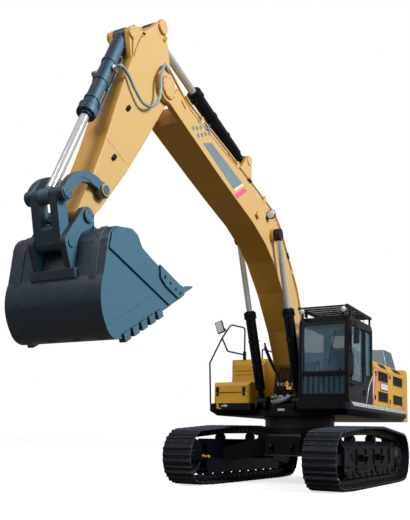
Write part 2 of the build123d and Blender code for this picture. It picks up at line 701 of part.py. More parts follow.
with BuildPart() as toolbox:
    block((TANK_X1 + FIT, BOX_X1), (TANK_OUT, TANK_IN), (DECK_Z1 + FIT, BOX_SPLIT))
    fillet(toolbox.edges().filter_by(Axis.Z), radius=BOX_ROUND)
    offset(amount=-SKIN, openings=toolbox.faces().sort_by(Axis.Z)[-1])
finish(toolbox, "toolbox")

with BuildPart() as toolbox_lid:
    slab(
        side_plane((0, 0), y=(TANK_IN + TANK_OUT) / 2),
        ((TANK_X1 + 2 * RUN, BOX_SPLIT + RUN), (BOX_X1, BOX_SPLIT + RUN), (BOX_X1, BOX_Z1 - 80),
         (BOX_X1 - 110, BOX_Z1), (TANK_X1 + 2 * RUN, BOX_Z1)),
        (TANK_IN - TANK_OUT) / 2,
    )
    fillet(toolbox_lid.edges().filter_by(Axis.Z), radius=BOX_ROUND)
    offset(amount=-SKIN, openings=toolbox_lid.faces().sort_by(Axis.Z)[0])
    for place in HINGES["toolbox_lid"]:
        hinge_leaf(place)
finish(toolbox_lid, "toolbox_lid")

# ---------------------------------------------------------------- handrail with mirror
RAIL_R = 17.0
RAIL_BEND = 60.0
RAIL_Y = TANK_OUT - 40
POST = (330.0, TANK_OUT + 295)  # x, y of the post on the fuel tank
BRANCH = (745.0, RAIL_Y, 3005.0)  # where the lower branch leaves the rail


with BuildPart() as handrail:
    tube(
        ((BOX_X1 + 30, RAIL_Y, DECK_Z1 + RUN / 2), (BOX_X1 + 90, RAIL_Y, 2420), BRANCH,
         (480, RAIL_Y + 70, 3330), POST + (3270,), POST + (TANK_Z1 + FIT,)),
        RAIL_R, RAIL_BEND,
    )
    tube((BRANCH, (600, RAIL_Y + 60, 2740), POST + (2680,)), RAIL_R, RAIL_BEND)
    # socket on the tank
    with Locations(POST + (TANK_Z1 + FIT + 85,)):
        Cylinder(36, 170)
    # mirror head on a short stalk
    tube(
        ((600, RAIL_Y + 35, 3170), (630, RAIL_Y - 20, 3240), (640, RAIL_Y - 60, 3250)), RAIL_R * 0.7, 20,
    )
    with Locations(Location((640, RAIL_Y - 110, 3260), (18, 0, 0))):
        Box(40, 170, 260)
finish(handrail, "handrail")

# ---------------------------------------------------------------- cab
CAB_MID_Y = (CAB_Y0 + CAB_Y1) / 2
GLASS_Z = (WAIST_Z + 45, CAB_Z1 - 140)
with BuildPart() as cab:
    slab(
        side_plane((0, 0), y=CAB_MID_Y),
        ((CAB_X0, DECK_Z1 + FIT), (CAB_X1, DECK_Z1 + FIT), (CAB_X1, WAIST_Z),
         (CAB_X1 - 40, CAB_Z1 - 90), (CAB_X1 - 120, CAB_Z1), (CAB_X0 + 90, CAB_Z1),
         (CAB_X0, CAB_Z1 - 90)),
        (CAB_Y1 - CAB_Y0) / 2,
    )
    # the room inside
    slab(
        side_plane((0, 0), y=CAB_MID_Y),
        ((CAB_X0 + CAB_WALL, DECK_Z1 + CAB_WALL), (CAB_X1 - CAB_WALL, DECK_Z1 + CAB_WALL),
         (CAB_X1 - CAB_WALL, WAIST_Z), (CAB_X1 - CAB_WALL - 40, CAB_Z1 - 110),
         (CAB_X1 - 150, CAB_Z1 - CAB_WALL), (CAB_X0 + 120, CAB_Z1 - CAB_WALL),
         (CAB_X0 + CAB_WALL, CAB_Z1 - 110)),
        (CAB_Y1 - CAB_Y0) / 2 - CAB_WALL, mode=Mode.SUBTRACT,
    )
    # windscreen, lower front pane, right pane, rear pane, left rear pane
    for x, y, z in (
        ((CAB_X1 - 130, CAB_X1 + 1), (CAB_Y0 + 85, CAB_Y1 - 85), GLASS_Z),
        ((CAB_X1 - 130, CAB_X1 + 1), (CAB_Y0 + 85, CAB_Y1 - 85), (DECK_Z1 + 150, WAIST_Z - 45)),
        ((CAB_X0 + 140, CAB_X1 - 150), (CAB_Y0 - 1, CAB_Y0 + CAB_WALL + 1), GLASS_Z),
        ((CAB_X0 - 1, CAB_X0 + CAB_WALL + 1), (CAB_Y0 + 120, CAB_Y1 - 120), GLASS_Z),
        ((CAB_X0 + 110, DOOR_X0 - 90), (CAB_Y1 - CAB_WALL - 1, CAB_Y1 + 1), GLASS_Z),
        ((DOOR_X0 - RUN, DOOR_X1 + RUN), (CAB_Y1 - CAB_WALL - 1, CAB_Y1 + 1), (DOOR_FOOT - RUN, CAB_Z1 - 95)),
    ):
        block(x, y, z, mode=Mode.SUBTRACT)
    for place in HINGES["cab_door"]:
        hinge_lugs(place)
finish(cab, "cab")

PANE_IN = 20.0
with BuildPart() as cab_glass:
    for x, y, z in (
        ((CAB_X1 - 40 - PANE_IN - PANE_T, CAB_X1 - 40 - PANE_IN), (CAB_Y0 + 85, CAB_Y1 - 85), GLASS_Z),
        ((CAB_X1 - PANE_IN - PANE_T, CAB_X1 - PANE_IN), (CAB_Y0 + 85, CAB_Y1 - 85),
         (DECK_Z1 + 150, WAIST_Z - 45)),
        ((CAB_X0 + 140, CAB_X1 - 150), (CAB_Y0 + PANE_IN, CAB_Y0 + PANE_IN + PANE_T), GLASS_Z),
        ((CAB_X0 + PANE_IN, CAB_X0 + PANE_IN + PANE_T), (CAB_Y0 + 120, CAB_Y1 - 120), GLASS_Z),
        ((CAB_X0 + 110, DOOR_X0 - 90), (CAB_Y1 - PANE_IN - PANE_T, CAB_Y1 - PANE_IN), GLASS_Z),
    ):
        block(
            (x[0] + FIT, x[1] - FIT), (y[0] + FIT, y[1] - FIT), (z[0] + FIT, z[1] - FIT)
        )
finish(cab_glass, "cab_glass")

DOOR_RAIL = 55.0
with BuildPart() as cab_door:
    y = (CAB_Y1 - CAB_WALL + 10, CAB_Y1)
    block((DOOR_X0, DOOR_X1), y, (DOOR_FOOT, CAB_Z1 - 100))
    block(
        (DOOR_X0 + DOOR_RAIL, DOOR_X1 - DOOR_RAIL), (y[0] - 1, y[1] + 1),
        (WAIST_Z - 120, CAB_Z1 - 100 - DOOR_RAIL), mode=Mode.SUBTRACT,
    )
    for place in HINGES["cab_door"]:
        hinge_leaf(place)
finish(cab_door, "cab_door")

with BuildPart() as door_glass:
    block(
        (DOOR_X0 + DOOR_RAIL + FIT, DOOR_X1 - DOOR_RAIL - FIT),
        (CAB_Y1 - PANE_IN - PANE_T, CAB_Y1 - PANE_IN),
        (WAIST_Z - 120 + FIT, CAB_Z1 - 100 - DOOR_RAIL - FIT),
    )
finish(door_glass, "door_glass")

GUARD_Z0 = CAB_Z1 + 140
GUARD_BARS = 9
LAMP_R = 60.0
with BuildPart() as cab_guard:
    for y in (CAB_Y0 + 20, CAB_Y1 - 20):
        block((CAB_X0 + 40, CAB_X1 + 40), (y - 20, y + 20), (GUARD_Z0, GUARD_Z0 + 50))
        for x in (CAB_X0 + 140, CAB_X1 - 170):
            block((x - 25, x + 25), (y - 15, y + 15), (CAB_Z1 + FIT, GUARD_Z0))
    for bar in range(GUARD_BARS):
        x = CAB_X0 + 60 + bar * (CAB_X1 - CAB_X0 - 40) / (GUARD_BARS - 1)
        block((x - 16, x + 16), (CAB_Y0 + 20, CAB_Y1 - 20), (GUARD_Z0 + 10, GUARD_Z0 + 40))
    # front lamps under the guard's corners
    for y in (CAB_Y0 + 85, CAB_Y1 - 85):
        lamp = Plane(origin=(CAB_X1 - 30, y, GUARD_Z0 - LAMP_R + 20), x_dir=(1, 0, 0), z_dir=(0, 0, 1))
        turned(lamp, ((0, 0), (0, LAMP_R * 0.6), (55, LAMP_R), (75, LAMP_R), (75, 0)))
finish(cab_guard, "cab_guard")

with BuildPart() as cab_interior:
    # seat on its column, backrest and head rest
    block((450, 800), (CAB_MID_Y - 230, CAB_MID_Y + 230), (DECK_Z1 + CAB_WALL + FIT, 1950))
    block((400, 880), (CAB_MID_Y - 250, CAB_MID_Y + 250), (1950, 2070))
    slab(
        side_plane((0, 0), y=CAB_MID_Y),
        ((400, 2070), (520, 2070), (440, 2720), (340, 2720)), 240,
    )
    # consoles at both sides and the monitor post
    for y in (CAB_MID_Y - 330, CAB_MID_Y + 330):
        block((420, 1000), (y - 65, y + 65), (DECK_Z1 + CAB_WALL + FIT, 2150))
    block((1330, 1400), (CAB_Y0 + 70, CAB_Y0 + 260), (DECK_Z1 + CAB_WALL + FIT, 2330))
finish(cab_interior, "cab_interior")

with BuildPart() as swing_drive:
    # slewing motor in front of the bearing's centre, with the valve block beside it
    with Locations((520, 0, DECK_Z1 + FIT + 150)):
        Cylinder(115, 300)
    block((-650, 150), (-180, 180), (DECK_Z1 + FIT, DECK_Z1 + 330))
finish(swing_drive, "swing_drive")

# ---------------------------------------------------------------- boom
def stretched(points):
    """Outline with its places along the boom following the boom's length."""
    return tuple((x * STRETCH, z) for x, z in points)


BOOM_TOP = stretched((
    (350, 400), (1200, 960), (2300, 1340), (2602, 1390), (2842, 1400), (3191, 1335), (3643, 1205),
    (4166, 1010), (4773, 760), (5373, 530), (5930, 300), (6360, 235),
))
BOOM_BELOW = stretched((
    (6400, -150), (5900, -30), (4900, 220), (4300, 380), (3500, 610), (2900, 700), (2500, 690),
    (1800, 540), (1000, 250), (380, -90),
))
FOOT_BOSS_R = 165.0
TIP_BOSS_R = 205.0
FORK_R = 520.0
with BuildPart() as boom:
    plane = side_plane(FOOT, BOOM_LEAN)
    slab(plane, BOOM_TOP + BOOM_BELOW + ((0, -FOOT_BOSS_R), (-FOOT_BOSS_R, 0), (0, FOOT_BOSS_R)), BOOM_HALF)
    disc(plane, (0, 0), FOOT_BOSS_R, BOOM_HALF)
    disc(plane, (BOOM_L, 0), TIP_BOSS_R, BOOM_HALF)
    # boss that carries both boom rams
    disc(plane, RAM_EYE, 120, RAM_Y - RAM_EYE_HALF - RUN)
    # ears of the arm ram
    for y in (-130, 130):
        strap(
            side_plane(FOOT, BOOM_LEAN, y),
            (ARM_RAM_FOOT + (90,), (3720 * STRETCH, 1120, 70), (4230 * STRETCH, 900, 70)), 35,
        )
    # fork that takes the arm
    disc(plane, (BOOM_L, 0), FORK_R, ARM_HALF + RUN, mode=Mode.SUBTRACT)
    # pins, fixed in the boom
    disc(plane, (0, 0), PIN_R, BOOM_HALF + RUN + EAR_T + 10)
    disc(plane, (BOOM_L, 0), PIN_R, BOOM_HALF)
    disc(plane, ARM_RAM_FOOT, PIN_R, 150)
    for y in (-1, 1):
        disc(side_plane(FOOT, BOOM_LEAN, y * (BOOM_HALF + 15)), (BOOM_L, 0), PIN_R * 1.6, 15)
finish(boom, "boom")

# ---------------------------------------------------------------- pipes and hoses
PIPE_R = 20.0
PIPE_BEND = 250.0
PIPES = ((225.0, 0.0, 6600.0 * STRETCH), (250.0, 45.0, 6150.0 * STRETCH))  # y, rise, front end
PIPE_ROUTE = stretched(((650, 740), (1300, 1100), (2600, 1475), (2950, 1480), (4773, 835), (5930, 375)))
PIPE_END_Z = 325.0
CLAMPS = tuple(x * STRETCH for x in (1700.0, 3400.0, 4460.0, 5640.0))
CLAMP_HALF = 40.0
HOSE_R = 21.0
HOSE_BEND = 80.0


def boom_top(x):
    """Height of the boom's upper edge at x in the boom's frame."""
    for (x0, z0), (x1, z1) in zip(BOOM_TOP, BOOM_TOP[1:]):
        if x0 <= x <= x1:
            return z0 + (z1 - z0) * (x - x0) / (x1 - x0)


def on_boom(x, y, z):
    """Machine place of a spot in the boom's frame."""
    place = along(FOOT, BOOM_LEAN, (x, z))
    return (place[0], y, place[1])


with BuildPart() as boom_pipes:
    for side, sign in SIDES:
        for y, rise, end in PIPES:
            tube(
                [on_boom(x, sign * y, z + rise) for x, z in PIPE_ROUTE]
                + [on_boom(end, sign * y, PIPE_END_Z + rise)],
                PIPE_R, PIPE_BEND,
            )
        clamp_y = (PIPES[0][0] + PIPES[1][0]) / 2
        for x in CLAMPS:
            low, high = x - CLAMP_HALF, x + CLAMP_HALF
            top = boom_top(x) + 135
            slab(
                side_plane(FOOT, BOOM_LEAN, sign * clamp_y),
                ((low, boom_top(low) + FIT), (high, boom_top(high) + FIT), (high, top), (low, top)),
                BOOM_HALF - clamp_y + RUN,
            )
finish(boom_pipes, "boom_pipes")

# hoses from the pipes' ends down to the bucket ram
HOSE_ROUTE = (  # x and z from the boom's tip
    (132, 270, 234), (235, 302, 29), (239, 304, -171), (297, 300, -356), (447, 290, -486),
    (607, 275, -506), (772, 255, -391), (887, 240, -271),
)
HOSE_LEAD = 110.0  # straight run at each end
PORT = (760.0, 742.0)  # in the arm's frame
PORT_R, PORT_OUT = 30.0, 120.0
port_place = along(TIP, ARM_LEAN, PORT)
for side, sign in SIDES:
    with BuildPart() as arm_hose:
        y, _, end = PIPES[0]
        drop = (PIPE_END_Z - PIPE_ROUTE[-1][1]) / (end - PIPE_ROUTE[-1][0])
        stops = [on_boom(end + FIT, y, PIPE_END_Z)]
        stops += [on_boom(end + HOSE_LEAD, y, PIPE_END_Z + drop * HOSE_LEAD)]
        stops += [(TIP[0] + x, y, TIP[1] + z) for x, y, z in HOSE_ROUTE]
        stops += [(port_place[0], PORT_OUT + lead, port_place[1]) for lead in (HOSE_LEAD, FIT)]
        tube([(x, sign * y, z) for x, y, z in stops], HOSE_R, HOSE_BEND)
    finish(arm_hose, f"arm_hose_{side}")

# ---------------------------------------------------------------- arm
ARM_OUTLINE = (
    (-765, 560), (-745, 625), (-690, 655), (-490, 685), (-150, 755), (60, 735), (680, 605), (1220, 465),
    (1850, 297), (2350, 190), (2880, 110), (2990, 0), (2880, -110), (2500, -160), (1760, -205),
    (1090, -205), (210, -185), (0, -200), (-130, -150), (-438, 111), (-597, 302), (-745, 500),
)
END_BOSS_R = 115.0
REAR_SLOT = 95.0
with BuildPart() as arm:
    plane = side_plane(TIP, ARM_LEAN)
    slab(plane, ARM_OUTLINE, ARM_HALF)
    disc(plane, (ARM_L, 0), END_BOSS_R, ARM_HALF)
    # slot for the arm ram's eye
    slab(
        plane, ((-1200, -200), (-520, -200), (-520, 1200), (-1200, 1200)), REAR_SLOT,
        mode=Mode.SUBTRACT,
    )
    # ears of the bucket ram
    for y in (-130, 130):
        strap(
            side_plane(TIP, ARM_LEAN, y),
            (BUCKET_RAM_FOOT + (75,), (-190, 650, 60), (380, 570, 60)), 35,
        )
    disc(plane, BUCKET_RAM_FOOT, PIN_R, 150)
    # bores for the boom's pin and the bucket's pin
    disc(plane, (0, 0), PIN_R + FIT, ARM_HALF + 1, mode=Mode.SUBTRACT)
    disc(plane, (ARM_L, 0), PIN_R + FIT, ARM_HALF + 1, mode=Mode.SUBTRACT)
    # rocker pin through the arm, with end caps outside the rockers
    disc(plane, ROCKER_FOOT, PIN_R, 300)
    for y in (-1, 1):
        disc(side_plane(TIP, ARM_LEAN, y * 300), ROCKER_FOOT, PIN_R * 1.4, 12)
finish(arm, "arm")

# ---------------------------------------------------------------- bucket linkage
ROCKER_IN, ROCKER_OUT = 200.0, 280.0
STUB_END = 86.0
ROCKER_DEPTH = 125.0
ROCKER_ARC = ThreePointArc(ROCKER_FOOT, (2580.0, 345.0), ROCKER_EYE)
with BuildPart() as rockers:
    for sign in (1, -1):
        plate = side_plane(TIP, ARM_LEAN, sign * (ROCKER_IN + ROCKER_OUT) / 2)
        half = (ROCKER_OUT - ROCKER_IN) / 2
        with BuildSketch(plate) as curve:
            SlotArc(ROCKER_ARC, ROCKER_DEPTH)
            for spot, radius in ((ROCKER_FOOT, 100), (ROCKER_EYE, 86)):
                with Locations(spot):
                    Circle(radius)
        extrude(curve.sketch, amount=half, both=True)
        disc(plate, ROCKER_FOOT, PIN_R + FIT, half + 1, mode=Mode.SUBTRACT)
        # stub pin inward through the link's ear
        stub = side_plane(TIP, ARM_LEAN, sign * (ROCKER_IN + STUB_END) / 2)
        disc(stub, ROCKER_EYE, PIN_R, (ROCKER_IN - STUB_END) / 2 + 1)
finish(rockers, "rockers")

LINK_EAR_IN, LINK_EAR_OUT = 85.0, 193.0
with BuildPart() as bucket_link:
    for y in (-(LINK_EAR_IN + LINK_EAR_OUT) / 2, (LINK_EAR_IN + LINK_EAR_OUT) / 2):
        plate = side_plane(TIP, ARM_LEAN, y)
        strap(plate, (ROCKER_EYE + (82,), LINK_EYE + (80,)), (LINK_EAR_OUT - LINK_EAR_IN) / 2)
    # cross box above the lower boss
    plane = side_plane(TIP, ARM_LEAN)
    disc(plane, LINK_EYE, 80, LINK_EAR_OUT)
    strap(plane, (LINK_EYE + (78,), (3245, 115, 70)), LINK_EAR_OUT)
    for y in (-1, 1):
        disc(
            side_plane(TIP, ARM_LEAN, y * (LINK_EAR_IN + LINK_EAR_OUT) / 2), ROCKER_EYE, PIN_R + FIT,
            (LINK_EAR_OUT - LINK_EAR_IN) / 2 + 1, mode=Mode.SUBTRACT,
        )
finish(bucket_link, "bucket_link")

# ---------------------------------------------------------------- bucket
BUCKET_WALL = 32.0
EAR_HALF = 40.0
BUCKET_EAR_Y = ARM_HALF + RUN + EAR_HALF
# the open side, from inside the top plate's front to inside the lip
BUCKET_MOUTH = (
    (-279, 60), (-279, -201), (-434, -356), (-684, -418), (-1336, -668), (-1450, -600), (-1450, 60),
)
TEETH = 5
TOOTH_W = 100.0
# side of a tooth on its adapter, seated on the lip
TOOTH_SIDE = ((-1385.5, -596), (-1540, -545), (-1727, -508), (-1724, -532), (-1560, -622), (-1396, -722))


def bucket_side(plane):
    """Side of the bucket from the pin: top plate, rounded back, floor, lip and hollowed front."""
    with BuildSketch(plane, mode=Mode.PRIVATE) as face:
        with BuildLine():
            Polyline((-254, -126), (26, -176))
            ThreePointArc((26, -176), (124, -261), (161, -386))
            Line((161, -386), (211, -766))
            ThreePointArc((211, -766), (246, -1051), (131, -1336))
            ThreePointArc((131, -1336), (-4, -1444), (-194, -1413))
            Polyline((-194, -1413), (-1160, -881), (-1394, -706), (-1384, -611), (-677, -378))
            ThreePointArc((-677, -378), (-474, -294), (-369, -164))
            Line((-369, -164), (-254, -126))
        make_face()
    return face.sketch


with BuildPart() as bucket:
    plane = side_plane(BUCKET_PIN)
    extrude(bucket_side(plane), amount=BUCKET_HALF, both=True)
    # ears round the bucket pin and the link's eye, and a box between them down the back
    link_eye = along(TIP, ARM_LEAN, LINK_EYE)
    eye = (link_eye[0] - BUCKET_PIN[0], link_eye[1] - BUCKET_PIN[1])
    for sign in (1, -1):
        plate = side_plane(BUCKET_PIN, y=sign * BUCKET_EAR_Y)
        strap(plate, ((0, 0, 112), eye + (105,), (-100, -260, 60), (190, -720, 40)), EAR_HALF)
        disc(side_plane(BUCKET_PIN, y=sign * (BUCKET_EAR_Y + EAR_HALF + 7)), eye, PIN_R, 7)
    slab(plane, ((160, -640), (258, -672), (244, -770), (205, -815)), BUCKET_EAR_Y + 90)
    # hollow of the bucket
    hollow = offset(bucket_side(plane), amount=-BUCKET_WALL, mode=Mode.PRIVATE)
    extrude(hollow, amount=BUCKET_HALF - BUCKET_WALL, both=True, mode=Mode.SUBTRACT)
    slab(plane, BUCKET_MOUTH, BUCKET_HALF - BUCKET_WALL, mode=Mode.SUBTRACT)
    disc(plane, (0, 0), PIN_R, BUCKET_EAR_Y + EAR_HALF + 14)
finish(bucket, "bucket")

with BuildPart() as bucket_teeth:
    for tooth in range(TEETH):
        y = (BUCKET_HALF - TOOTH_W / 2 - 10) * (2 * tooth / (TEETH - 1) - 1)
        slab(side_plane(BUCKET_PIN, y=y), TOOTH_SIDE, TOOTH_W / 2)
finish(bucket_teeth, "bucket_teeth")

# ---------------------------------------------------------------- hydraulic cylinders
def barrel(name, foot, eye, y, length, radius, gland, bore, eye_r, eye_half, port=None):
    """Cylinder tube from its foot eye, over a neck between the ears, to its gland."""
    lean = reach(foot, eye)[1]
    shoulder = 2 * eye_r + 10
    with BuildPart() as barrel_part:
        plane = side_plane(foot, lean, y)
        turned(
            plane,
            ((eye_r * 0.6, 0), (eye_r * 0.6, eye_half - 3), (shoulder, eye_half - 3),
             (shoulder + 30, radius), (length - 150, radius),
             (length - 150, gland), (length - 30, gland), (length - 30, radius - 10),
             (length, radius - 10), (length, bore + FIT), (eye_r + 60, bore + FIT), (eye_r + 60, 0)),
        )
        disc(plane, (0, 0), eye_r, eye_half)
        disc(plane, (0, 0), PIN_R + FIT, eye_half + 1, mode=Mode.SUBTRACT)
        if port:
            # ports for the hoses at both sides, clear of the bore
            inner = bore + 3 * RUN
            for sign in (1, -1):
                port_plane = side_plane(port, y=sign * (inner + PORT_OUT) / 2)
                disc(port_plane, (0, 0), PORT_R, (PORT_OUT - inner) / 2)
    finish(barrel_part, name)


def rod(name, foot, eye, y, start, bore, eye_r, eye_half):
    """Piston rod from inside the tube to its eye."""
    span, lean = reach(foot, eye)
    with BuildPart() as bar:
        plane = side_plane(foot, lean, y)
        turned(plane, ((start, 0), (start, bore), (span - eye_r * 0.7, bore), (span - eye_r * 0.7, 0)))
        disc(plane, (span, 0), eye_r, eye_half)
    finish(bar, name)


ram_eye = along(FOOT, BOOM_LEAN, RAM_EYE)
for side, sign in SIDES:
    barrel(
        f"boom_cylinder_{side}", RAM_FOOT, ram_eye, sign * RAM_Y, 1850, 98, 119, 55, RAM_BOSS_R, RAM_EYE_HALF,
    )
    rod(f"boom_rod_{side}", RAM_FOOT, ram_eye, sign * RAM_Y, 1310, 55, 105, RAM_EYE_HALF)

arm_ram_foot = along(FOOT, BOOM_LEAN, ARM_RAM_FOOT)
arm_rear = along(TIP, ARM_LEAN, ARM_REAR)
barrel("arm_cylinder", arm_ram_foot, arm_rear, 0, 1830, 105, 124, 60, 100, 88)
rod("arm_rod", arm_ram_foot, arm_rear, 0, 980, 60, 88, 88)

bucket_ram_foot = along(TIP, ARM_LEAN, BUCKET_RAM_FOOT)
rocker_eye = along(TIP, ARM_LEAN, ROCKER_EYE)
barrel("bucket_cylinder", bucket_ram_foot, rocker_eye, 0, 1580, 92, 122, 58, 88, 88, port_place)
rod("bucket_rod", bucket_ram_foot, rocker_eye, 0, 1110, 58, 92, 78)
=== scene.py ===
"""Looks of the crawler excavator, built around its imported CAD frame. Metres, +X forward, +Y machine left, +Z up."""
import json
import math

import bmesh
import bpy
from mathutils import Matrix, Vector

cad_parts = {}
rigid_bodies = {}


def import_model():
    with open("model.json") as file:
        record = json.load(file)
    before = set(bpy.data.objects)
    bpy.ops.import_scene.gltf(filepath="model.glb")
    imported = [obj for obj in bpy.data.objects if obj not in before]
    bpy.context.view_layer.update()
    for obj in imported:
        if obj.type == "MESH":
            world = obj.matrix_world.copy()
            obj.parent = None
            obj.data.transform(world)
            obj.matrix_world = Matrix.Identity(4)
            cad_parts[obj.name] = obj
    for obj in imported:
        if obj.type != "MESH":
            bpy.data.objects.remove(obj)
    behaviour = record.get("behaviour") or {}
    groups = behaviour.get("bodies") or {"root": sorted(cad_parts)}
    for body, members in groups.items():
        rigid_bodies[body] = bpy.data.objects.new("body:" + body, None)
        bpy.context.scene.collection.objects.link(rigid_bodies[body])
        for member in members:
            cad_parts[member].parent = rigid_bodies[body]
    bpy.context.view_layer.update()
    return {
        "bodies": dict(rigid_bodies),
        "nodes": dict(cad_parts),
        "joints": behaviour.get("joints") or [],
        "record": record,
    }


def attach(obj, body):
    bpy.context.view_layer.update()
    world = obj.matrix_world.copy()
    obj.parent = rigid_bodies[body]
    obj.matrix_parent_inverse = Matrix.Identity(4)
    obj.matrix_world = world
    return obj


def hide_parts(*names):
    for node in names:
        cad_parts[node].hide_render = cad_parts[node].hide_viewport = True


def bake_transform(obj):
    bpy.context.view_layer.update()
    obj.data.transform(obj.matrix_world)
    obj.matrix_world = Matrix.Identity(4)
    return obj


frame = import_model()
NODES = frame["nodes"]
SLOT_OF = {row["node"]: row["material_slot"] for row in frame["record"]["subparts"]}

# ---- camera
CAMERA_SPOT = (13.631, 5.268, 0.89)
CAMERA_YAW, CAMERA_PITCH, CAMERA_ROLL = 207.46, 6.85, 0.97  # degrees
CAMERA_LENS, CAMERA_SENSOR = 47.79, 36.0  # mm
CAMERA_SHIFT = (-0.0362, 0.1833)
CAMERA_REACH = 400.0


def placed(name, data):
    """A new object in the scene."""
    thing = bpy.data.objects.new(name, data)
    bpy.context.scene.collection.objects.link(thing)
    return thing


def make_camera():
    """The camera at the reference viewing angle."""
    yaw, pitch, roll = (math.radians(v) for v in (CAMERA_YAW, CAMERA_PITCH, CAMERA_ROLL))
    look = Vector((math.cos(pitch) * math.cos(yaw), math.cos(pitch) * math.sin(yaw), math.sin(pitch)))
    side = Vector((math.sin(yaw), -math.cos(yaw), 0.0))
    up = side.cross(look)
    right = side * math.cos(roll) + up * math.sin(roll)
    above = up * math.cos(roll) - side * math.sin(roll)
    data = bpy.data.cameras.new("camera")
    data.lens, data.sensor_width = CAMERA_LENS, CAMERA_SENSOR
    data.shift_x, data.shift_y = CAMERA_SHIFT
    data.clip_end = CAMERA_REACH
    camera = placed("camera", data)
    camera.matrix_world = Matrix.Translation(CAMERA_SPOT) @ Matrix((right, above, -look)).transposed().to_4x4()
    bpy.context.scene.camera = camera


make_camera()

# ---- frames of the moving parts
Y, UP, FORE = Vector((0, 1, 0)), Vector((0, 0, 1)), Vector((1, 0, 0))
SIDES = (("left", 1), ("right", -1))
FOOT, BOOM_LEAN, BOOM_L = (0.371, 2.252), 32.77, 6.52  # the boom's foot, its lean in degrees, its length
ARM_LEAN, ARM_L = -55.2, 2.88
BOOM_EYE, BOOM_EARS = (2.81, 1.045), (4.1, 1.6)  # boom rams' eyes and arm ram's foot, in the boom's frame
ARM_EYE, ARM_EARS, ROCKER_PIN = (-0.68, 0.57), (0.08, 0.865), (2.966, 0.399)  # in the arm's frame


def leaning(place, lean):
    """Places (x along, y, z above) of a frame that leans about Y, in machine coordinates."""
    c, s = math.cos(math.radians(lean)), math.sin(math.radians(lean))
    return lambda x, y, z: Vector((place[0] + c * x - s * z, y, place[1] + s * x + c * z))


MACHINE = leaning((0.0, 0.0), 0.0)
BOOM = leaning(FOOT, BOOM_LEAN)
TIP = BOOM(BOOM_L, 0, 0)
ARM = leaning((TIP.x, TIP.z), ARM_LEAN)
PIN = ARM(ARM_L, 0, 0)
BUCKET = leaning((PIN.x, PIN.z), 0.0)
FLOOR = leaning((PIN.x - 0.194, PIN.z - 1.413), 151.2)  # along the bucket's floor, up is outward


def beside(frame, place, y):
    """A pin's place (x, z) of a frame, at a width."""
    return frame(place[0], y, place[1])


# ---- materials
def srgb(red, green, blue):
    """Linear colour of an sRGB colour given in 0..255."""
    line = [(v / 255.0) / 12.92 if v <= 10 else (((v / 255.0) + 0.055) / 1.055) ** 2.4 for v in (red, green, blue)]
    return (*line, 1.0)


def toned(colour, share, lift=0.0):
    """A colour scaled and lifted."""
    return tuple(min(1.0, v * share + lift) for v in colour[:3]) + (1.0,)


class Nodes:
    """Short way to add and join the shader nodes of a material or the world."""

    def __init__(self, name, kind=bpy.data.materials, shader="Principled BSDF"):
        self.material = kind.new(name)
        self.material.use_nodes = True
        self.tree = self.material.node_tree
        self.shader = self.tree.nodes[shader]

    def add(self, kind, links=(), **values):
        """A node of a kind; links are (input, socket) pairs and values are its settings or inputs."""
        node = self.tree.nodes.new(kind)
        for key, value in values.items():
            if hasattr(node, key):
                setattr(node, key, value)
            else:
                node.inputs[key.replace("_", " ")].default_value = value
        for key, socket in links:
            self.tree.links.new(socket, node.inputs[key])
        return node

    def join(self, socket, key):
        """A socket into the shader's input."""
        self.tree.links.new(socket, self.shader.inputs[key])

    def set(self, **values):
        """Constants on the shader's own inputs."""
        for key, value in values.items():
            self.shader.inputs[key.replace("_", " ")].default_value = value

    def place(self, kind="Object"):
        """Coordinates fixed to the piece."""
        return self.add("ShaderNodeTexCoord").outputs[kind]

    def noise(self, scale, detail=3.0, rough=0.55):
        return self.add("ShaderNodeTexNoise", [("Vector", self.place())],
                        Scale=scale, Detail=detail, Roughness=rough).outputs[0]

    def math(self, operation, *values):
        """A sum on values, each a socket or a number."""
        node = self.add("ShaderNodeMath", operation=operation)
        for number, value in enumerate(values):
            if hasattr(value, "is_output"):
                self.tree.links.new(value, node.inputs[number])
            else:
                node.inputs[number].default_value = value
        return node.outputs[0]

    def edges(self, radius):
        """Rounded normal for crisp plate edges, and how near an edge a point is, 0..1."""
        soft = self.add("ShaderNodeBevel", samples=4, Radius=radius).outputs[0]
        flat = self.add("ShaderNodeNewGeometry").outputs["Normal"]
        close = self.add("ShaderNodeVectorMath", [(0, soft), (1, flat)], operation="DOT_PRODUCT")
        return soft, self.ramp(close.outputs["Value"], 0.999, 0.86)

    def ramp(self, socket, low, high, start=0.0, end=1.0):
        """A value spread from low..high to start..end."""
        return self.add("ShaderNodeMapRange", [("Value", socket)], From_Min=low, From_Max=high,
                        To_Min=start, To_Max=end, clamp=True).outputs[0]

    def blend(self, share, one, two):
        """Two colours mixed by a share; each is a socket or a colour."""
        node = self.tree.nodes.new("ShaderNodeMix")
        node.data_type = "RGBA"
        for key, value in (("Factor", share), ("A", one), ("B", two)):
            place = [i for i in node.inputs if i.name == key and i.enabled][0]
            if hasattr(value, "is_output"):
                self.tree.links.new(value, place)
            else:
                place.default_value = value
        return [o for o in node.outputs if o.enabled][0]

    def bump(self, height, strength, depth, normal=None):
        """A skin of bumps over the shader's normal."""
        links = [("Height", height)] + ([] if normal is None else [("Normal", normal)])
        self.join(self.add("ShaderNodeBump", links, Strength=strength, Distance=depth).outputs[0], "Normal")


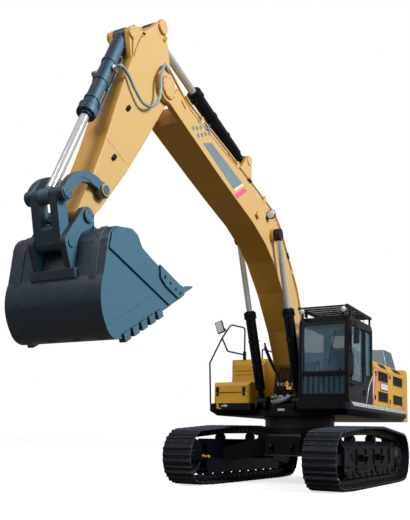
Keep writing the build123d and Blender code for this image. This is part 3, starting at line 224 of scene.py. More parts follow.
def painted(name, colour, roughness=0.34, coat=0.35, dust=0.16, wear_and_highlight=0.25, soil=(120, 108, 92), flank=None,
            shine=0.5):
    """Sprayed paint: slight shade changes, patches of dust, paler edges that are partly rubbed wear and partly a
    painted highlight, orange peel.
    The flanks, which face the machine's sides, may take another colour: a painted sheen of the light that falls on
    them."""
    n, colour = Nodes(name), srgb(*colour)
    broad, fine = n.noise(0.9), n.noise(9.0, 5.0)
    normal, near = n.edges(0.008)
    base = n.blend(n.ramp(broad, 0.35, 0.7), colour, toned(colour, 0.86))
    if flank:
        # painted sheen: faces turned toward the machine's sides take the flank colour
        across = n.add("ShaderNodeSeparateXYZ", [(0, n.place("Normal"))]).outputs[1]
        base = n.blend(n.ramp(n.math("ABSOLUTE", across), 0.55, 0.95), base, srgb(*flank))
    base = n.blend(n.math("MULTIPLY", n.ramp(fine, 0.52, 0.78), dust), base, srgb(*soil))
    # paler edges: partly rubbed wear, partly a painted highlight where light catches them
    n.join(n.blend(n.math("MULTIPLY", near, wear_and_highlight), base, toned(colour, 0.6, 0.16)), "Base Color")
    n.join(n.ramp(fine, 0.3, 0.8, roughness - 0.05, roughness + 0.14), "Roughness")
    n.bump(n.noise(240.0, 2.0), 0.04, 0.001, normal)
    n.set(Specular_IOR_Level=shine, Coat_Weight=coat, Coat_Roughness=0.12)
    return n.material


def cast(name, colour, wear_and_highlight, roughness=0.55, edge=0.006):
    """Rough dark steel with scuffed patches, paler edges that are partly rubbed wear and partly a painted highlight,
    and a coarse skin.
    """
    n = Nodes(name)
    broad, fine = n.noise(3.5, 6.0, 0.65), n.noise(60.0)
    normal, near = n.edges(edge)
    # scuffed patches are wear; the paler edges are partly wear and partly a painted highlight
    scuffs_and_edge_highlight = n.math("MAXIMUM", n.ramp(broad, 0.66, 0.9), near)
    n.join(n.blend(scuffs_and_edge_highlight, srgb(*colour), srgb(*wear_and_highlight)), "Base Color")
    n.join(n.ramp(broad, 0.3, 0.8, roughness - 0.12, roughness + 0.15), "Roughness")
    n.bump(fine, 0.25, 0.002, normal)
    n.set(Metallic=0.35)
    return n.material


def chromed(name, eye, radius, paint):
    """Hard chrome with faint turning marks, only partly metallic so that its pale colour also shows as a painted
    reflection; the forged eye within a radius of its pin is painted.
    """
    n = Nodes(name)
    shine = n.blend(n.ramp(n.noise(35.0, 4.0), 0.4, 0.7), srgb(238, 242, 246), srgb(216, 222, 228))
    flat = n.add("ShaderNodeVectorMath", [(0, n.place())], operation="MULTIPLY")
    flat.inputs[1].default_value = (1, 0, 1)
    away = n.add("ShaderNodeVectorMath", [(0, flat.outputs[0])], operation="DISTANCE")
    away.inputs[1].default_value = (eye.x, 0, eye.z)
    rod = n.ramp(away.outputs["Value"], radius - 0.001, radius + 0.001)
    # metallic kept at 0.7: the rest of the pale chrome colour is diffuse, a painted reflection
    n.join(n.math("MULTIPLY", rod, 0.7), "Metallic")
    n.join(n.blend(rod, srgb(*paint), shine), "Base Color")
    n.join(n.ramp(rod, 0.0, 1.0, 0.42, 0.2), "Roughness")
    return n.material


def glazing(name):
    """Lightly tinted safety glass, brightened and blued as a painted reflection of the sky."""
    n = Nodes(name)
    streak = n.noise(2.2, 4.0)
    n.join(n.ramp(streak, 0.35, 0.8, 0.01, 0.06), "Roughness")
    # the pale blue is partly tint and partly a painted sky reflection
    n.join(n.blend(n.ramp(streak, 0.3, 0.7), srgb(96, 136, 158), srgb(66, 104, 128)), "Base Color")
    n.set(Alpha=0.45, Coat_Weight=1.0, Coat_Roughness=0.02)
    return n.material


def rubber(name, colour, roughness=0.6):
    """Hose or seal rubber, faintly ribbed."""
    n, colour = Nodes(name), srgb(*colour)
    n.join(n.blend(n.ramp(n.noise(6.0), 0.4, 0.75), colour, toned(colour, 1.6, 0.01)), "Base Color")
    n.bump(n.noise(120.0), 0.15, 0.001)
    n.set(Roughness=roughness)
    return n.material


def woven(name, colour):
    """Seat cloth: a fine crossed weave."""
    n, colour = Nodes(name), srgb(*colour)
    spot = n.place()
    rows = [n.add("ShaderNodeTexWave", [("Vector", spot)], Scale=260.0, bands_direction=axis).outputs[1]
            for axis in ("X", "Z")]
    cross = n.math("MULTIPLY", *rows)
    n.join(n.blend(cross, colour, toned(colour, 2.2, 0.01)), "Base Color")
    n.bump(cross, 0.4, 0.001)
    n.set(Roughness=0.85)
    return n.material


def glowing(name, colour, centre):
    """Moulded lamp glass: ribbed, with a painted highlight toward the middle of each rib."""
    n = Nodes(name)
    ribs = n.add("ShaderNodeTexWave", [("Vector", n.place())], Scale=60.0, bands_direction="Y")
    # the brighter colour is a painted highlight along each rib
    n.join(n.blend(ribs.outputs[1], srgb(*colour), srgb(*centre)), "Base Color")
    n.set(Roughness=0.12, Coat_Weight=1.0)
    return n.material


RAM_PAINT, BUCKET_RAM_PAINT = (8, 12, 21), (56, 88, 110)
# Blender adds a number to a material's name where the frame already has one of that name
MATERIALS = {material.name.split(".")[0]: material for material in (
    painted("yellow_paint", (226, 170, 34), 0.36, 0.4, 0.06),
    # flank: a painted sheen of the light on the boom's sides
    painted("boom_paint", (206, 152, 50), 0.4, 0.3, 0.06, flank=(208, 172, 110)),
    painted("black_paint", (2, 9, 20), 0.36, 0.12, 0.03, 0.1, (34, 46, 62), shine=0.2),
    painted("frame_black", (3, 7, 15), 0.45, 0.05, 0.06, 0.14, (36, 44, 56), shine=0.2),
    # flank: a painted reflection of the light on the bucket's sides
    painted("bucket_grey", (22, 40, 58), 0.34, 0.25, 0.05, soil=(54, 70, 84), flank=(64, 106, 130)),
    painted("hood_grey", (78, 98, 112), 0.4, 0.2, 0.1),
    painted("film_slate", (116, 138, 148), 0.4, 0.2, 0.05),
    painted("film_white", (224, 228, 230), 0.4, 0.2, 0.05),
    painted("film_pink", (236, 92, 140), 0.4, 0.2, 0.04),
    # its paler colour marks scuffs and paints a highlight on the shoes' edges
    cast("track_steel", (9, 12, 21), (92, 104, 122), edge=0.012),
    cast("chain", (9, 11, 17), (38, 42, 50), 0.45),
    cast("bearing_steel", (48, 50, 55), (90, 92, 96), 0.4),
    cast("engine_iron", (70, 70, 68), (98, 96, 90)),
    cast("zinc", (196, 206, 208), (226, 232, 232), 0.35),
    chromed("boom_rod_left", beside(BOOM, BOOM_EYE, 0), 0.125, RAM_PAINT),
    chromed("boom_rod_right", beside(BOOM, BOOM_EYE, 0), 0.125, RAM_PAINT),
    chromed("arm_rod", beside(ARM, ARM_EYE, 0), 0.11, RAM_PAINT),
    chromed("bucket_rod", beside(ARM, ROCKER_PIN, 0), 0.115, BUCKET_RAM_PAINT),
    glazing("cab_glass"),
    glowing("lamp_lens", (170, 184, 190), (232, 240, 242)),
    glowing("lamp_red", (120, 10, 12), (190, 34, 30)),
    woven("seat_fabric", (34, 35, 40)),
    rubber("hose_rubber", (20, 24, 34)),
    rubber("hose_pale", (112, 138, 150), 0.45),
    rubber("rubber_black", (12, 14, 18), 0.5),
)}
BOOM_PAINT_NODES = ("boom", "arm", "boom_pipes")  # nodes in the boom's paint, whose flanks carry a painted sheen


def dress_frame():
    """Materials for the carried-over CAD nodes."""
    for name, thing in NODES.items():
        slot = "boom_paint" if name in BOOM_PAINT_NODES else name if name in MATERIALS else SLOT_OF[name]
        for place in thing.material_slots:
            place.material = MATERIALS[slot]
        if not thing.material_slots:
            thing.data.materials.append(MATERIALS[slot])


dress_frame()


# ---- forms
def span(sign, low, high):
    """Two widths on one side of the machine, in rising order."""
    return sorted((sign * low, sign * high))


def cap(radius, thick, rise=0.0, step=0.0):
    """Profile of a round cap, which may rise further to a smaller face."""
    return ((0, radius), (thick, radius)) + (((thick + rise, radius - step),) if rise else ())


def drums(*parts):
    """Profile of drums in a row, each (start, end, radius)."""
    return [spot for start, end, radius in parts for spot in ((start, radius), (end, radius))]


def strips(a0, a1, b0, b1, wide):
    """Four strips round a pane: between a0 and a1 beside b0 and b1, and past both ends beside a0 and a1."""
    return (((a0, a1), (b0 - wide, b0)), ((a0, a1), (b1, b1 + wide)),
            ((a0 - wide, a0), (b0 - wide, b1 + wide)), ((a1, a1 + wide), (b0 - wide, b1 + wide)))


def row(start, step, count):
    """Evenly spaced places."""
    return [start + step * number for number in range(count)]


def eased(points, steps=8):
    """Points along a smooth curve through the given ones."""
    points = [Vector(p) for p in points]
    ends = [2 * points[0] - points[1]] + points + [2 * points[-1] - points[-2]]
    out = []
    for a, b, c, d in zip(ends, ends[1:], ends[2:], ends[3:]):
        for step in range(steps):
            t = step / steps
            out.append(0.5 * (2 * b + (c - a) * t + (2 * a - 5 * b + 4 * c - d) * t * t
                              + (3 * b - a - 3 * c + d) * t ** 3))
    return out + [points[-1]]


class Form:
    """One piece gathered from plates, rings, tubes and bolts in a single mesh."""

    def __init__(self, name, body, slot, material=None):
        self.name, self.body, self.slot = name, body, slot
        self.material = MATERIALS[material or slot]
        self.bm = bmesh.new()

    def skin(self, rings):
        """Faces between rings of as many points, with the two ends closed."""
        rows = [[self.bm.verts.new(p) for p in ring] for ring in rings]
        count = len(rows[0])
        for low, high in zip(rows, rows[1:]):
            for i in range(count):
                j = (i + 1) % count
                self.bm.faces.new((low[i], low[j], high[j], high[i]))
        self.bm.faces.new(list(reversed(rows[0])))
        self.bm.faces.new(rows[-1])

    def plate(self, frame, outline, y0, y1):
        """Outline (x, z) of a frame between two widths."""
        self.skin([[frame(x, y, z) for x, z in outline] for y in (y0, y1)])

    def both(self, frame, outline, y0, y1):
        """The same plate on both sides of the machine."""
        self.plate(frame, outline, y0, y1)
        self.plate(frame, outline, -y1, -y0)

    def box(self, x, y, z, frame=MACHINE):
        self.plate(frame, ((x[0], z[0]), (x[1], z[0]), (x[1], z[1]), (x[0], z[1])), *y)

    def tube(self, points, radius, sides=10):
        """Round bar or hose along points, radius a number or one for each point."""
        points = [Vector(p) for p in points]
        runs = [(b - a).normalized() for a, b in zip(points, points[1:])]
        ways = [runs[0]] + [(a + b).normalized() for a, b in zip(runs, runs[1:])] + [runs[-1]]
        side = ways[0].orthogonal().normalized()
        turns = [2 * math.pi * i / sides for i in range(sides)]
        rings = []
        for number, (spot, way) in enumerate(zip(points, ways)):
            side = (side - way * side.dot(way)).normalized()
            up = way.cross(side)
            size = radius[number] if isinstance(radius, (list, tuple)) else radius
            rings.append([spot + size * (side * math.cos(turn) + up * math.sin(turn)) for turn in turns])
        self.skin(rings)

    def hose(self, points, radius, steps=6, sides=10):
        """Tube along a smooth curve through points."""
        self.tube(eased(points, steps), radius, sides)

    def turned(self, start, way, profile, sides=24):
        """Profile (along, radius) turned about a line; its places always grow, so each ring has a direction."""
        start, way, line = Vector(start), Vector(way).normalized(), []
        for along, radius in profile:
            line.append((along if not line or along > line[-1][0] else line[-1][0] + 0.0002, radius))
        self.tube([start + way * along for along, _ in line], [radius for _, radius in line], sides)

    def bolt(self, spot, way, size=0.014):
        """Hexagon head on a washer."""
        spot, way = Vector(spot), Vector(way).normalized()
        self.turned(spot, way, cap(size * 1.5, size * 0.25), 12)
        self.turned(spot + way * size * 0.25, way, cap(size, size * 0.7, size * 0.15, size * 0.2), 6)

    def bolts_round(self, centre, way, radius, count, size=0.014, turn=0.0):
        way = Vector(way).normalized()
        side = way.orthogonal().normalized()
        up = way.cross(side)
        for number in range(count):
            angle = turn + 2 * math.pi * number / count
            self.bolt(Vector(centre) + radius * (side * math.cos(angle) + up * math.sin(angle)), way, size)

    def done(self, bevel=0.004):
        """The finished piece, riding on its body."""
        bmesh.ops.recalc_face_normals(self.bm, faces=self.bm.faces)
        mesh = bpy.data.meshes.new(self.name)
        self.bm.to_mesh(mesh)
        self.bm.free()
        mesh.materials.append(self.material)
        mesh.shade_smooth()
        mesh.set_sharp_from_angle(angle=math.radians(35.0))
        piece = placed(self.name, mesh)
        if bevel:
            soft = piece.modifiers.new("edges", "BEVEL")
            soft.width, soft.segments, soft.limit_method, soft.angle_limit = bevel, 2, "ANGLE", math.radians(50)
            soft.harden_normals = True
        if self.body:
            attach(piece, self.body)
        return piece


# ---- boom
UPPER = "upperstructure"
BOOM_SIDE, ARM_SIDE, BUCKET_SIDE = 0.27, 0.19, 0.7  # half widths
FILM = 0.0025  # thickness of a stuck-on film


def boom_decals():
    """Slate band with a white and a pink stripe on each flank, after a scatter of small squares; no lettering."""
    size, slip = 0.065, 0.012
    squares = [((x, z), (x + size, z - slip), (x + size, z + size - slip), (x, z + size))
               for x, z in ((5.56, 0.16), (5.5, 0.27), (5.44, 0.38), (5.37, 0.49), (5.65, 0.22), (5.59, 0.33),
                            (5.5, 0.46), (5.72, 0.12), (5.68, 0.36), (5.42, 0.54))]
    for name, colour, outlines in (
            ("boom_band", "film_slate", [((5.44, 0.21), (5.27, 0.455), (4.19, 0.83), (4.345, 0.475)), *squares]),
            ("boom_stripe_white", "film_white", [((4.33, 0.48), (4.175, 0.835), (4.13, 0.85), (4.285, 0.49))]),
            ("boom_stripe_pink", "film_pink", [((4.27, 0.425), (4.09, 0.84), (3.98, 0.875), (4.16, 0.45))])):
        film = Form(name, "boom", "hood_grey", colour)
        for outline in outlines:
            film.both(BOOM, outline, BOOM_SIDE, BOOM_SIDE + FILM)
        film.done(0)


def boom_fittings():
    """Pin covers, keepers, weld seams, lamps and pipe nuts on the boom."""
    trim = Form("boom_trim", "boom", "yellow_paint", "boom_paint")
    lamp = Form("boom_lamp", "boom", "black_paint")
    lens = Form("boom_lamp_lens", "boom", "cab_glass", "lamp_lens")
    nuts = Form("pipe_nuts", "boom", "bearing_steel")
    for _, sign in SIDES:
        way = Y * sign
        flank = lambda thick: span(sign, BOOM_SIDE, BOOM_SIDE + thick)
        at = lambda x, z, off=0.0: BOOM(x, sign * (BOOM_SIDE + off), z)
        # cover of the tip pin, keepers of the tip pin and of the arm ram's pin
        trim.turned(at(BOOM_L, 0), way, ((0, 0.165), (0.022, 0.165), (0.03, 0.157), (0.03, 0.13), (0.026, 0.125)), 40)
        trim.bolts_round(at(BOOM_L, 0, 0.026), way, 0.143, 8, 0.011)
        trim.turned(beside(BOOM, BOOM_EARS, sign * 0.165), way, cap(0.085, 0.012, 0.004, 0.005), 28)
        trim.box((6.06, 6.2), flank(0.014), (0.17, 0.21), BOOM)
        # weld seams, bracket by the lamp, lift lug on the back
        for low, high in (((5.8, 0.03), (5.875, 0.3)), ((3.7, 0.62), (3.86, 1.09)), ((1.62, 0.52), (1.72, 1.1))):
            trim.tube((at(*low, -0.001), at(*high, -0.001)), 0.005, 8)
        trim.box((3.43, 3.53), flank(0.05), (0.78, 0.86), BOOM)
        trim.plate(BOOM, ((2.2, 1.3), (2.26, 1.4), (2.34, 1.42), (2.4, 1.34)), *span(sign, 0.1, 0.13))
        # work lamp
        spot = BOOM(3.155, sign * (BOOM_SIDE + 0.09), 1.2)
        shade = ((0, 0.035), (0.02, 0.06), (0.07, 0.085), (0.1, 0.09), (0.105, 0.084))
        lamp.turned(spot - FORE * 0.06, FORE, shade, 28)
        lamp.tube((spot - FORE * 0.02, spot - Y * sign * 0.09 - UP * 0.03), 0.013)
        lamp.box((3.12, 3.19), flank(0.02), (1.1, 1.26), BOOM)
        lens.turned(spot + FORE * 0.043, FORE, ((0, 0.078), (0.004, 0.076), (0.01, 0.05), (0.013, 0.01)), 28)
        # nuts along the pipes
        for y, rise in ((0.225, 0.0), (0.25, 0.045)):
            for x, z, lean in ((1.95, 1.287, 0.325), (3.95, 1.126, -0.354)):
                middle = BOOM(x, sign * y, z + rise)
                nuts.turned(middle, BOOM(x + 1, sign * y, z + rise + lean) - middle,
                            drums((0, 0.045, 0.029), (0.05, 0.075, 0.024), (0.08, 0.12, 0.029)), 6)
    trim.done(0.003)
    lamp.done(0.002)
    lens.done(0)
    nuts.done(0.002)


# ---- arm and its hoses
def arm_fittings():
    """Bosses, flanges, ribs, clamps and weld seams on the arm."""
    trim = Form("arm_trim", "arm", "yellow_paint", "boom_paint")
    clamps = Form("arm_clamps", "arm", "black_paint")
    for _, sign in SIDES:
        way = Y * sign
        flank = lambda thick: span(sign, ARM_SIDE, ARM_SIDE + thick)
        at = lambda x, z, off=0.0: ARM(x, sign * (ARM_SIDE + off), z)
        # boss of the arm ram's pin with its bolted keeper
        trim.turned(at(*ARM_EYE), way, ((0, 0.105), (0.03, 0.105), (0.038, 0.098), (0.038, 0.06), (0.03, 0.055)), 36)
        trim.box((-0.66, -0.56), flank(0.018), (0.4, 0.455), ARM)
        for x in (-0.635, -0.585):
            trim.bolt(at(x, 0.428, 0.018), way, 0.012)
        # ears of the bucket ram: covers outside, ribs running down from them
        trim.turned(beside(ARM, ARM_EARS, sign * 0.165), way,
                    ((0, 0.085), (0.02, 0.085), (0.028, 0.077), (0.028, 0.045)), 32)
        trim.bolts_round(beside(ARM, ARM_EARS, sign * 0.19), way, 0.061, 4, 0.008, 0.5)
        trim.plate(ARM, ((-0.2, 0.71), (-0.02, 0.93), (0.03, 0.9), (0.36, 0.655), (0.33, 0.64), (0.02, 0.72)),
                   *span(sign, 0.165, 0.19))
        # flanges along the front and back edges, seam of the flank, ring round the bucket's pin
        for radius, line in (
                (0.011, ((-0.12, 0.735), (0.06, 0.715), (0.68, 0.585), (1.22, 0.445), (1.85, 0.277), (2.3, 0.18))),
                (0.006, ((0.2, -0.165), (1.09, -0.187), (1.76, -0.187), (2.5, -0.143)))):
            trim.tube([at(x, z, -0.003) for x, z in line], radius, 8)
        trim.tube((at(1.62, -0.16, -0.001), at(1.72, 0.3, -0.001)), 0.005, 8)
        trim.turned(at(ARM_L, 0), way, cap(0.1, 0.003), 36)
        for x, z in ((1.018, 0.3), (1.798, 0.08)):
            clamps.box((x - 0.04, x + 0.04), flank(0.03), (z - 0.025, z + 0.025), ARM)
            clamps.bolt(at(x, z, 0.03), way, 0.009)
    trim.done(0.003)
    clamps.done(0.006)


def arm_hoses():
    """Hoses from the boom's pipes to the bucket ram, with their crimped fittings."""
    route = [(0.132, 0.27, 0.234), (0.235, 0.302, 0.029), (0.239, 0.304, -0.171), (0.297, 0.3, -0.356),
             (0.447, 0.29, -0.486), (0.607, 0.275, -0.506), (0.772, 0.255, -0.391), (0.887, 0.24, -0.271)]
    port = ARM(0.76, 0, 0.742)
    for side, sign in SIDES:
        start = BOOM(6.605, sign * 0.225, 0.323)
        points = [start, BOOM(6.71, sign * 0.225, 0.28),
                  *(Vector((TIP.x + x, sign * y, TIP.z + z)) for x, y, z in route),
                  *(Vector((port.x, sign * y, port.z)) for y in (0.23, 0.125))]
        hose = Form(f"hose_{side}", None, "hose_rubber", "hose_pale")
        smooth = eased(points, 10)
        hose.tube(smooth, 0.021, 16)
        piece = hose.done(0)
        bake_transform(piece)
        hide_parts(f"arm_hose_{side}")
        near = Form(f"hose_fitting_boom_{side}", "boom", "chrome_rod", "zinc")
        way = smooth[6] - smooth[0]
        near.turned(start - way * 0.02, way, drums((0, 0.03, 0.026), (0.034, 0.06, 0.031), (0.064, 0.13, 0.025)), 6)
        near.done(0.002)
        far = Form(f"hose_fitting_ram_{side}", "bucket_cylinder", "chrome_rod", "zinc")
        far.turned((port.x, sign * 0.12, port.z), Y * sign,
                   drums((0, 0.03, 0.034), (0.034, 0.06, 0.027), (0.064, 0.12, 0.025)), 6)
        far.turned((port.x, sign * 0.115, port.z), Y * sign, cap(0.044, 0.012), 20)
        far.done(0.002)


# ---- rams
def ram_fittings(name, foot, eye, length, radius, gland, paint, clamps, shift, rod):
    """Gland bolts, clamp bands and the long steel pipe of one hydraulic ram, and the wiper round its rod."""
    way = (eye - foot).normalized()
    off = Y.cross(way).normalized() * (radius + 0.045) + Y * shift  # to the pipe
    along = lambda distance: foot + way * distance
    band = lambda inner, outer, slope, width: (
        (0, inner), (slope, outer), (width - slope, outer), (width, inner))
    trim = Form(f"{name}_trim", name, "black_paint", paint)
    trim.bolts_round(along(length - 0.03), way, gland - 0.022, 10, 0.011)
    trim.turned(along(length - 0.155), way, band(radius + 0.006, gland + 0.004, 0.006, 0.024), 36)
    for distance in clamps:
        spot = along(distance)
        trim.turned(spot - way * 0.02, way, band(radius + 0.002, radius + 0.012, 0.004, 0.04), 36)
        trim.tube((spot + off * 0.8, spot + off * 1.12), 0.026, 8)
        trim.bolt(spot + off * 1.12, off, 0.01)
    start, end = along(0.34), along(length - 0.1)
    run = eased([start + off, start + way * 0.1 + off, end - way * 0.12 + off, end - way * 0.03 + off * 0.93], 3)
    trim.tube([along(0.3) + off * 0.6, *run, end + off * 0.6], 0.017)
    trim.turned(end - way * 0.035 + off * 0.5, off, cap(0.03, 0.05), 12)
    trim.done(0.002)
    seal = Form(f"{name}_wiper", name, "black_paint")
    seal.turned(along(length), way, ((0, rod + 0.022), (0.008, rod + 0.02), (0.012, rod + 0.004)), 36)
    seal.done(0)


def all_rams():
    """The fittings of the four rams."""
    for side, sign in SIDES:
        ram_fittings(f"boom_cylinder_{side}", MACHINE(1.02, sign * 0.4, 1.62), beside(BOOM, BOOM_EYE, sign * 0.4),
                     1.85, 0.098, 0.119, "black_paint", (0.75, 1.25), 0.0, 0.055)
    ram_fittings("arm_cylinder", beside(BOOM, BOOM_EARS, 0), beside(ARM, ARM_EYE, 0),
                 1.83, 0.105, 0.124, "black_paint", (0.7, 1.2), 0.0, 0.06)
    ram_fittings("bucket_cylinder", beside(ARM, ARM_EARS, 0), beside(ARM, ROCKER_PIN, 0),
                 1.58, 0.092, 0.122, "bucket_grey", (0.58, 0.95, 1.3), 0.03, 0.058)


# ---- bucket and its linkage
def bucket_fittings():
    """Edge plates, cutters, wear blocks, straps, adapters and pin covers of the bucket."""
    trim = Form("bucket_trim", "bucket", "bucket_grey")
    for _, sign in SIDES:
        way = Y * sign
        side = lambda low, high: span(sign, BUCKET_SIDE + low, BUCKET_SIDE + high)
        # thick edge plate along the mouth, tapering back from the cutting edge
        trim.plate(BUCKET, ((-0.375, -0.175), (-0.26, -0.135), (0.02, -0.185), (0.11, -0.265), (0.145, -0.46),
                            (-1.115, -0.876), (-1.385, -0.7), (-1.375, -0.618), (-0.68, -0.387),
                            (-0.48, -0.305)), *side(0.0, 0.024))
        # side cutter with its bolts
        trim.plate(BUCKET, ((-0.84, -0.425), (-1.3, -0.575), (-1.45, -0.6), (-1.42, -0.7), (-1.28, -0.76),
                            (-0.98, -0.66), (-0.86, -0.58)), *side(0.022, 0.05))
        for x, z in ((-0.95, -0.55), (-1.08, -0.6), (-1.21, -0.65), (-1.32, -0.68)):
            trim.bolt(BUCKET(x, sign * (BUCKET_SIDE + 0.05), z), way, 0.02)
        # weld of the heel plate, wear blocks along the heel
        trim.tube([BUCKET(x, sign * BUCKET_SIDE, z) for x, z in ((0.13, -1.32), (-0.72, -0.85))], 0.005, 8)
        for along in row(0.04, 0.19, 5):
            trim.box((along - 0.06, along + 0.06), side(-0.06, 0.03), (-0.05, 0.055), FLOOR)
        # pin covers on the ears, gussets between the ears and the top plate
        trim.turned(BUCKET(0, sign * 0.289, 0), way, cap(0.082, 0.014, 0.006, 0.007), 32)
        trim.bolts_round(BUCKET(0, sign * 0.309, 0), way, 0.05, 3, 0.01)
        trim.plate(BUCKET, ((-0.3, -0.155), (-0.05, -0.11), (-0.06, -0.16), (-0.28, -0.2)), *span(sign, 0.3, 0.33))
    # wear straps round the back and under the floor
    back = ((0.036, -0.166), (0.135, -0.255), (0.172, -0.386), (0.222, -0.766), (0.257, -1.051), (0.142, -1.342),
            (0.0, -1.456), (-0.197, -1.424), (-1.1, -0.927))
    for y in (-0.55, -0.18, 0.18, 0.55):
        trim.plate(BUCKET, [*back, *reversed(inner_of(back))], y - 0.05, y + 0.05)
    # adapters over the lip and the pins of the teeth
    for y in row(0.06 - BUCKET_SIDE, 0.32, 5):
        for edge in (1, -1):
            trim.plate(BUCKET, ((-1.24, -0.79), (-1.2, -0.85), (-1.45, -0.71), (-1.5, -0.64), (-1.47, -0.575),
                                (-1.25, -0.525), (-1.22, -0.56), (-1.38, -0.62), (-1.39, -0.7)),
                       *sorted((y + edge * 0.051, y + edge * 0.062)))
        trim.turned(BUCKET(-1.49, y - 0.068, -0.61), Y, cap(0.018, 0.136), 12)
    trim.done(0.004)


def inner_of(line, strap=0.018):
    """The same line pushed in by a strap's thickness."""
    out = []
    for number, (x, z) in enumerate(line):
        a, b = line[max(0, number - 1)], line[min(len(line) - 1, number + 1)]
        run = Vector((b[0] - a[0], b[1] - a[1])).normalized()
        out.append((x + run.y * strap, z - run.x * strap))
    return out


def linkage_fittings():
    """Pin covers and grease lines of rockers and link."""
    trim = Form("rocker_trim", "rockers", "bucket_grey")
    link = Form("link_trim", "bucket_link", "bucket_grey")
    for _, sign in SIDES:
        way = Y * sign
        trim.turned(beside(ARM, ROCKER_PIN, sign * 0.28), way, cap(0.07, 0.012, 0.006, 0.008), 28)
        trim.bolts_round(beside(ARM, ROCKER_PIN, sign * 0.298), way, 0.042, 3, 0.009)
        trim.turned(ARM(2.39, sign * 0.312, 0), way, cap(0.06, 0.008), 28)
        trim.tube([ARM(x, sign * 0.281, z) for x, z in ((2.5, 0.14), (2.53, 0.26), (2.62, 0.36))], 0.006, 8)
        link.turned(ARM(3.345, sign * 0.193, 0), way, cap(0.06, 0.004), 28)
    link.box((3.03, 3.17), (-0.06, 0.06), (0.17, 0.2), ARM)
    trim.done(0.002)
    link.done(0.003)


# ---- undercarriage
TRACK_Y, GIRDER_Y = 1.37, 1.53  # track's middle, girder's outer face
WHEEL_X, WHEEL_Z = 2.185, 0.545  # idler, and sprocket as far behind
SHOES = 54


def girder_fittings(side, sign):
    """Flanges, ribs, guards, steps and bolts on the outer side of one track frame."""
    way = Y * sign
    out = Form(f"track_frame_trim_{side}", "undercarriage", "track_steel", "frame_black")
    face = lambda thick: span(sign, GIRDER_Y, GIRDER_Y + thick)
    at = lambda x, z, off=0.0: Vector((x, sign * (GIRDER_Y + off), z))
    out.box((-1.55, 1.62), face(0.03), (0.735, 0.755))
    out.box((-1.62, 1.62), face(0.045), (0.4, 0.425))
    for x in row(-1.35, 0.6, 5):
        out.box((x - 0.012, x + 0.012), face(0.026), (0.43, 0.73))
    # roller guards and their bolts, rollers' caps
    for x0, x1 in ((-0.95, -0.2), (0.35, 1.1)):
        out.plate(MACHINE, ((x0, 0.4), (x1, 0.4), (x1 - 0.08, 0.27), (x0 + 0.08, 0.27)), *face(0.02))
        for x in (x0 + 0.12, (x0 + x1) / 2, x1 - 0.12):
            out.bolt(at(x, 0.36, 0.02), way, 0.016)
    for x in row(-1.65, 0.4125, 9):
        out.turned(at(x, 0.28), way, cap(0.05, 0.02, 0.006, 0.01), 20)
        for dx in (-0.075, 0.075):
            out.bolt(at(x + dx, 0.33), way, 0.011)
    # step plates on their brackets, with treads
    for x in (-0.45, 0.75):
        out.box((x - 0.17, x + 0.17), face(0.11), (0.6, 0.62))
        for dxs, low, high in (((-0.15, 0.15), 0.5, 0.6), (row(-0.12, 0.06, 5), 0.62, 0.628)):
            for dx in dxs:
                out.box((x + dx - 0.008, x + dx + 0.008), face(0.1), (low, high))
    # idler's yoke, track adjuster's cover, final drive's cover
    for x, z, off, profile, sides in ((WHEEL_X, WHEEL_Z, -0.052, cap(0.075, 0.02, 0.008, 0.01), 28),
                                      (1.28, 0.6, 0.0, cap(0.075, 0.012), 24),
                                      (-WHEEL_X, WHEEL_Z, 0.03, cap(0.06, 0.02, 0.01, 0.01), 24)):
        out.turned(at(x, z, off), way, profile, sides)
    for x, z, off, radius, count, size in (
            (WHEEL_X, WHEEL_Z, -0.03, 0.048, 4, 0.01), (1.28, 0.6, 0.012, 0.055, 4, 0.009),
            (-WHEEL_X, WHEEL_Z, 0.03, 0.15, 12, 0.014), (-WHEEL_X, WHEEL_Z, -0.03, 0.212, 20, 0.012)):
        out.bolts_round(at(x, z, off), way, radius, count, size)
    out.done(0.002)


def undercarriage_fittings():
    """Both track frames and chains, the centre frame's bolts, hoses and front plate."""
    body = Form("carbody_trim", "undercarriage", "track_steel", "frame_black")
    body.bolts_round((0, 0, 1.12), -UP, 0.68, 36, 0.02)
    for side, sign in SIDES:
        girder_fittings(side, sign)
        chain_links(side, sign)
        for x in (0.9, -0.9):
            body.tube(((x - 0.18, sign * 1.2, 0.72), (x + 0.18, sign * 1.2, 0.72)), 0.008, 8)
        # travel hoses from the middle to the rear motors
        for route in (((-0.5, 0.3, 0.9), (-0.95, 0.55, 0.86), (-1.5, 0.9, 0.8), (-1.95, 1.1, 0.66)),
                      ((-0.5, 0.24, 0.86), (-0.98, 0.5, 0.8), (-1.55, 0.85, 0.74), (-1.98, 1.08, 0.6))):
            body.hose([(x, sign * y, z) for x, y, z in route], 0.022, 8)
    # front plate of the centre frame with its tow eyes
    body.box((0.9, 0.93), (-0.36, 0.36), (0.6, 0.95))
    for y in (-0.22, 0.22):
        body.plate(MACHINE, ((0.93, 0.66), (1.01, 0.68), (1.04, 0.74), (1.01, 0.8), (0.93, 0.82)), y - 0.02, y + 0.02)
    body.done(0.003)
    tip = Form("grease_fitting", "undercarriage", "yellow_paint")
    tip.turned((2.02, -1.19, 0.545), Y, drums((0, 0.03, 0.03), (0.034, 0.12, 0.018), (0.125, 0.15, 0.03)), 12)
    tip.box((1.96, 2.08), (-1.13, -1.1), (0.53, 0.56))
    tip.done(0.003)


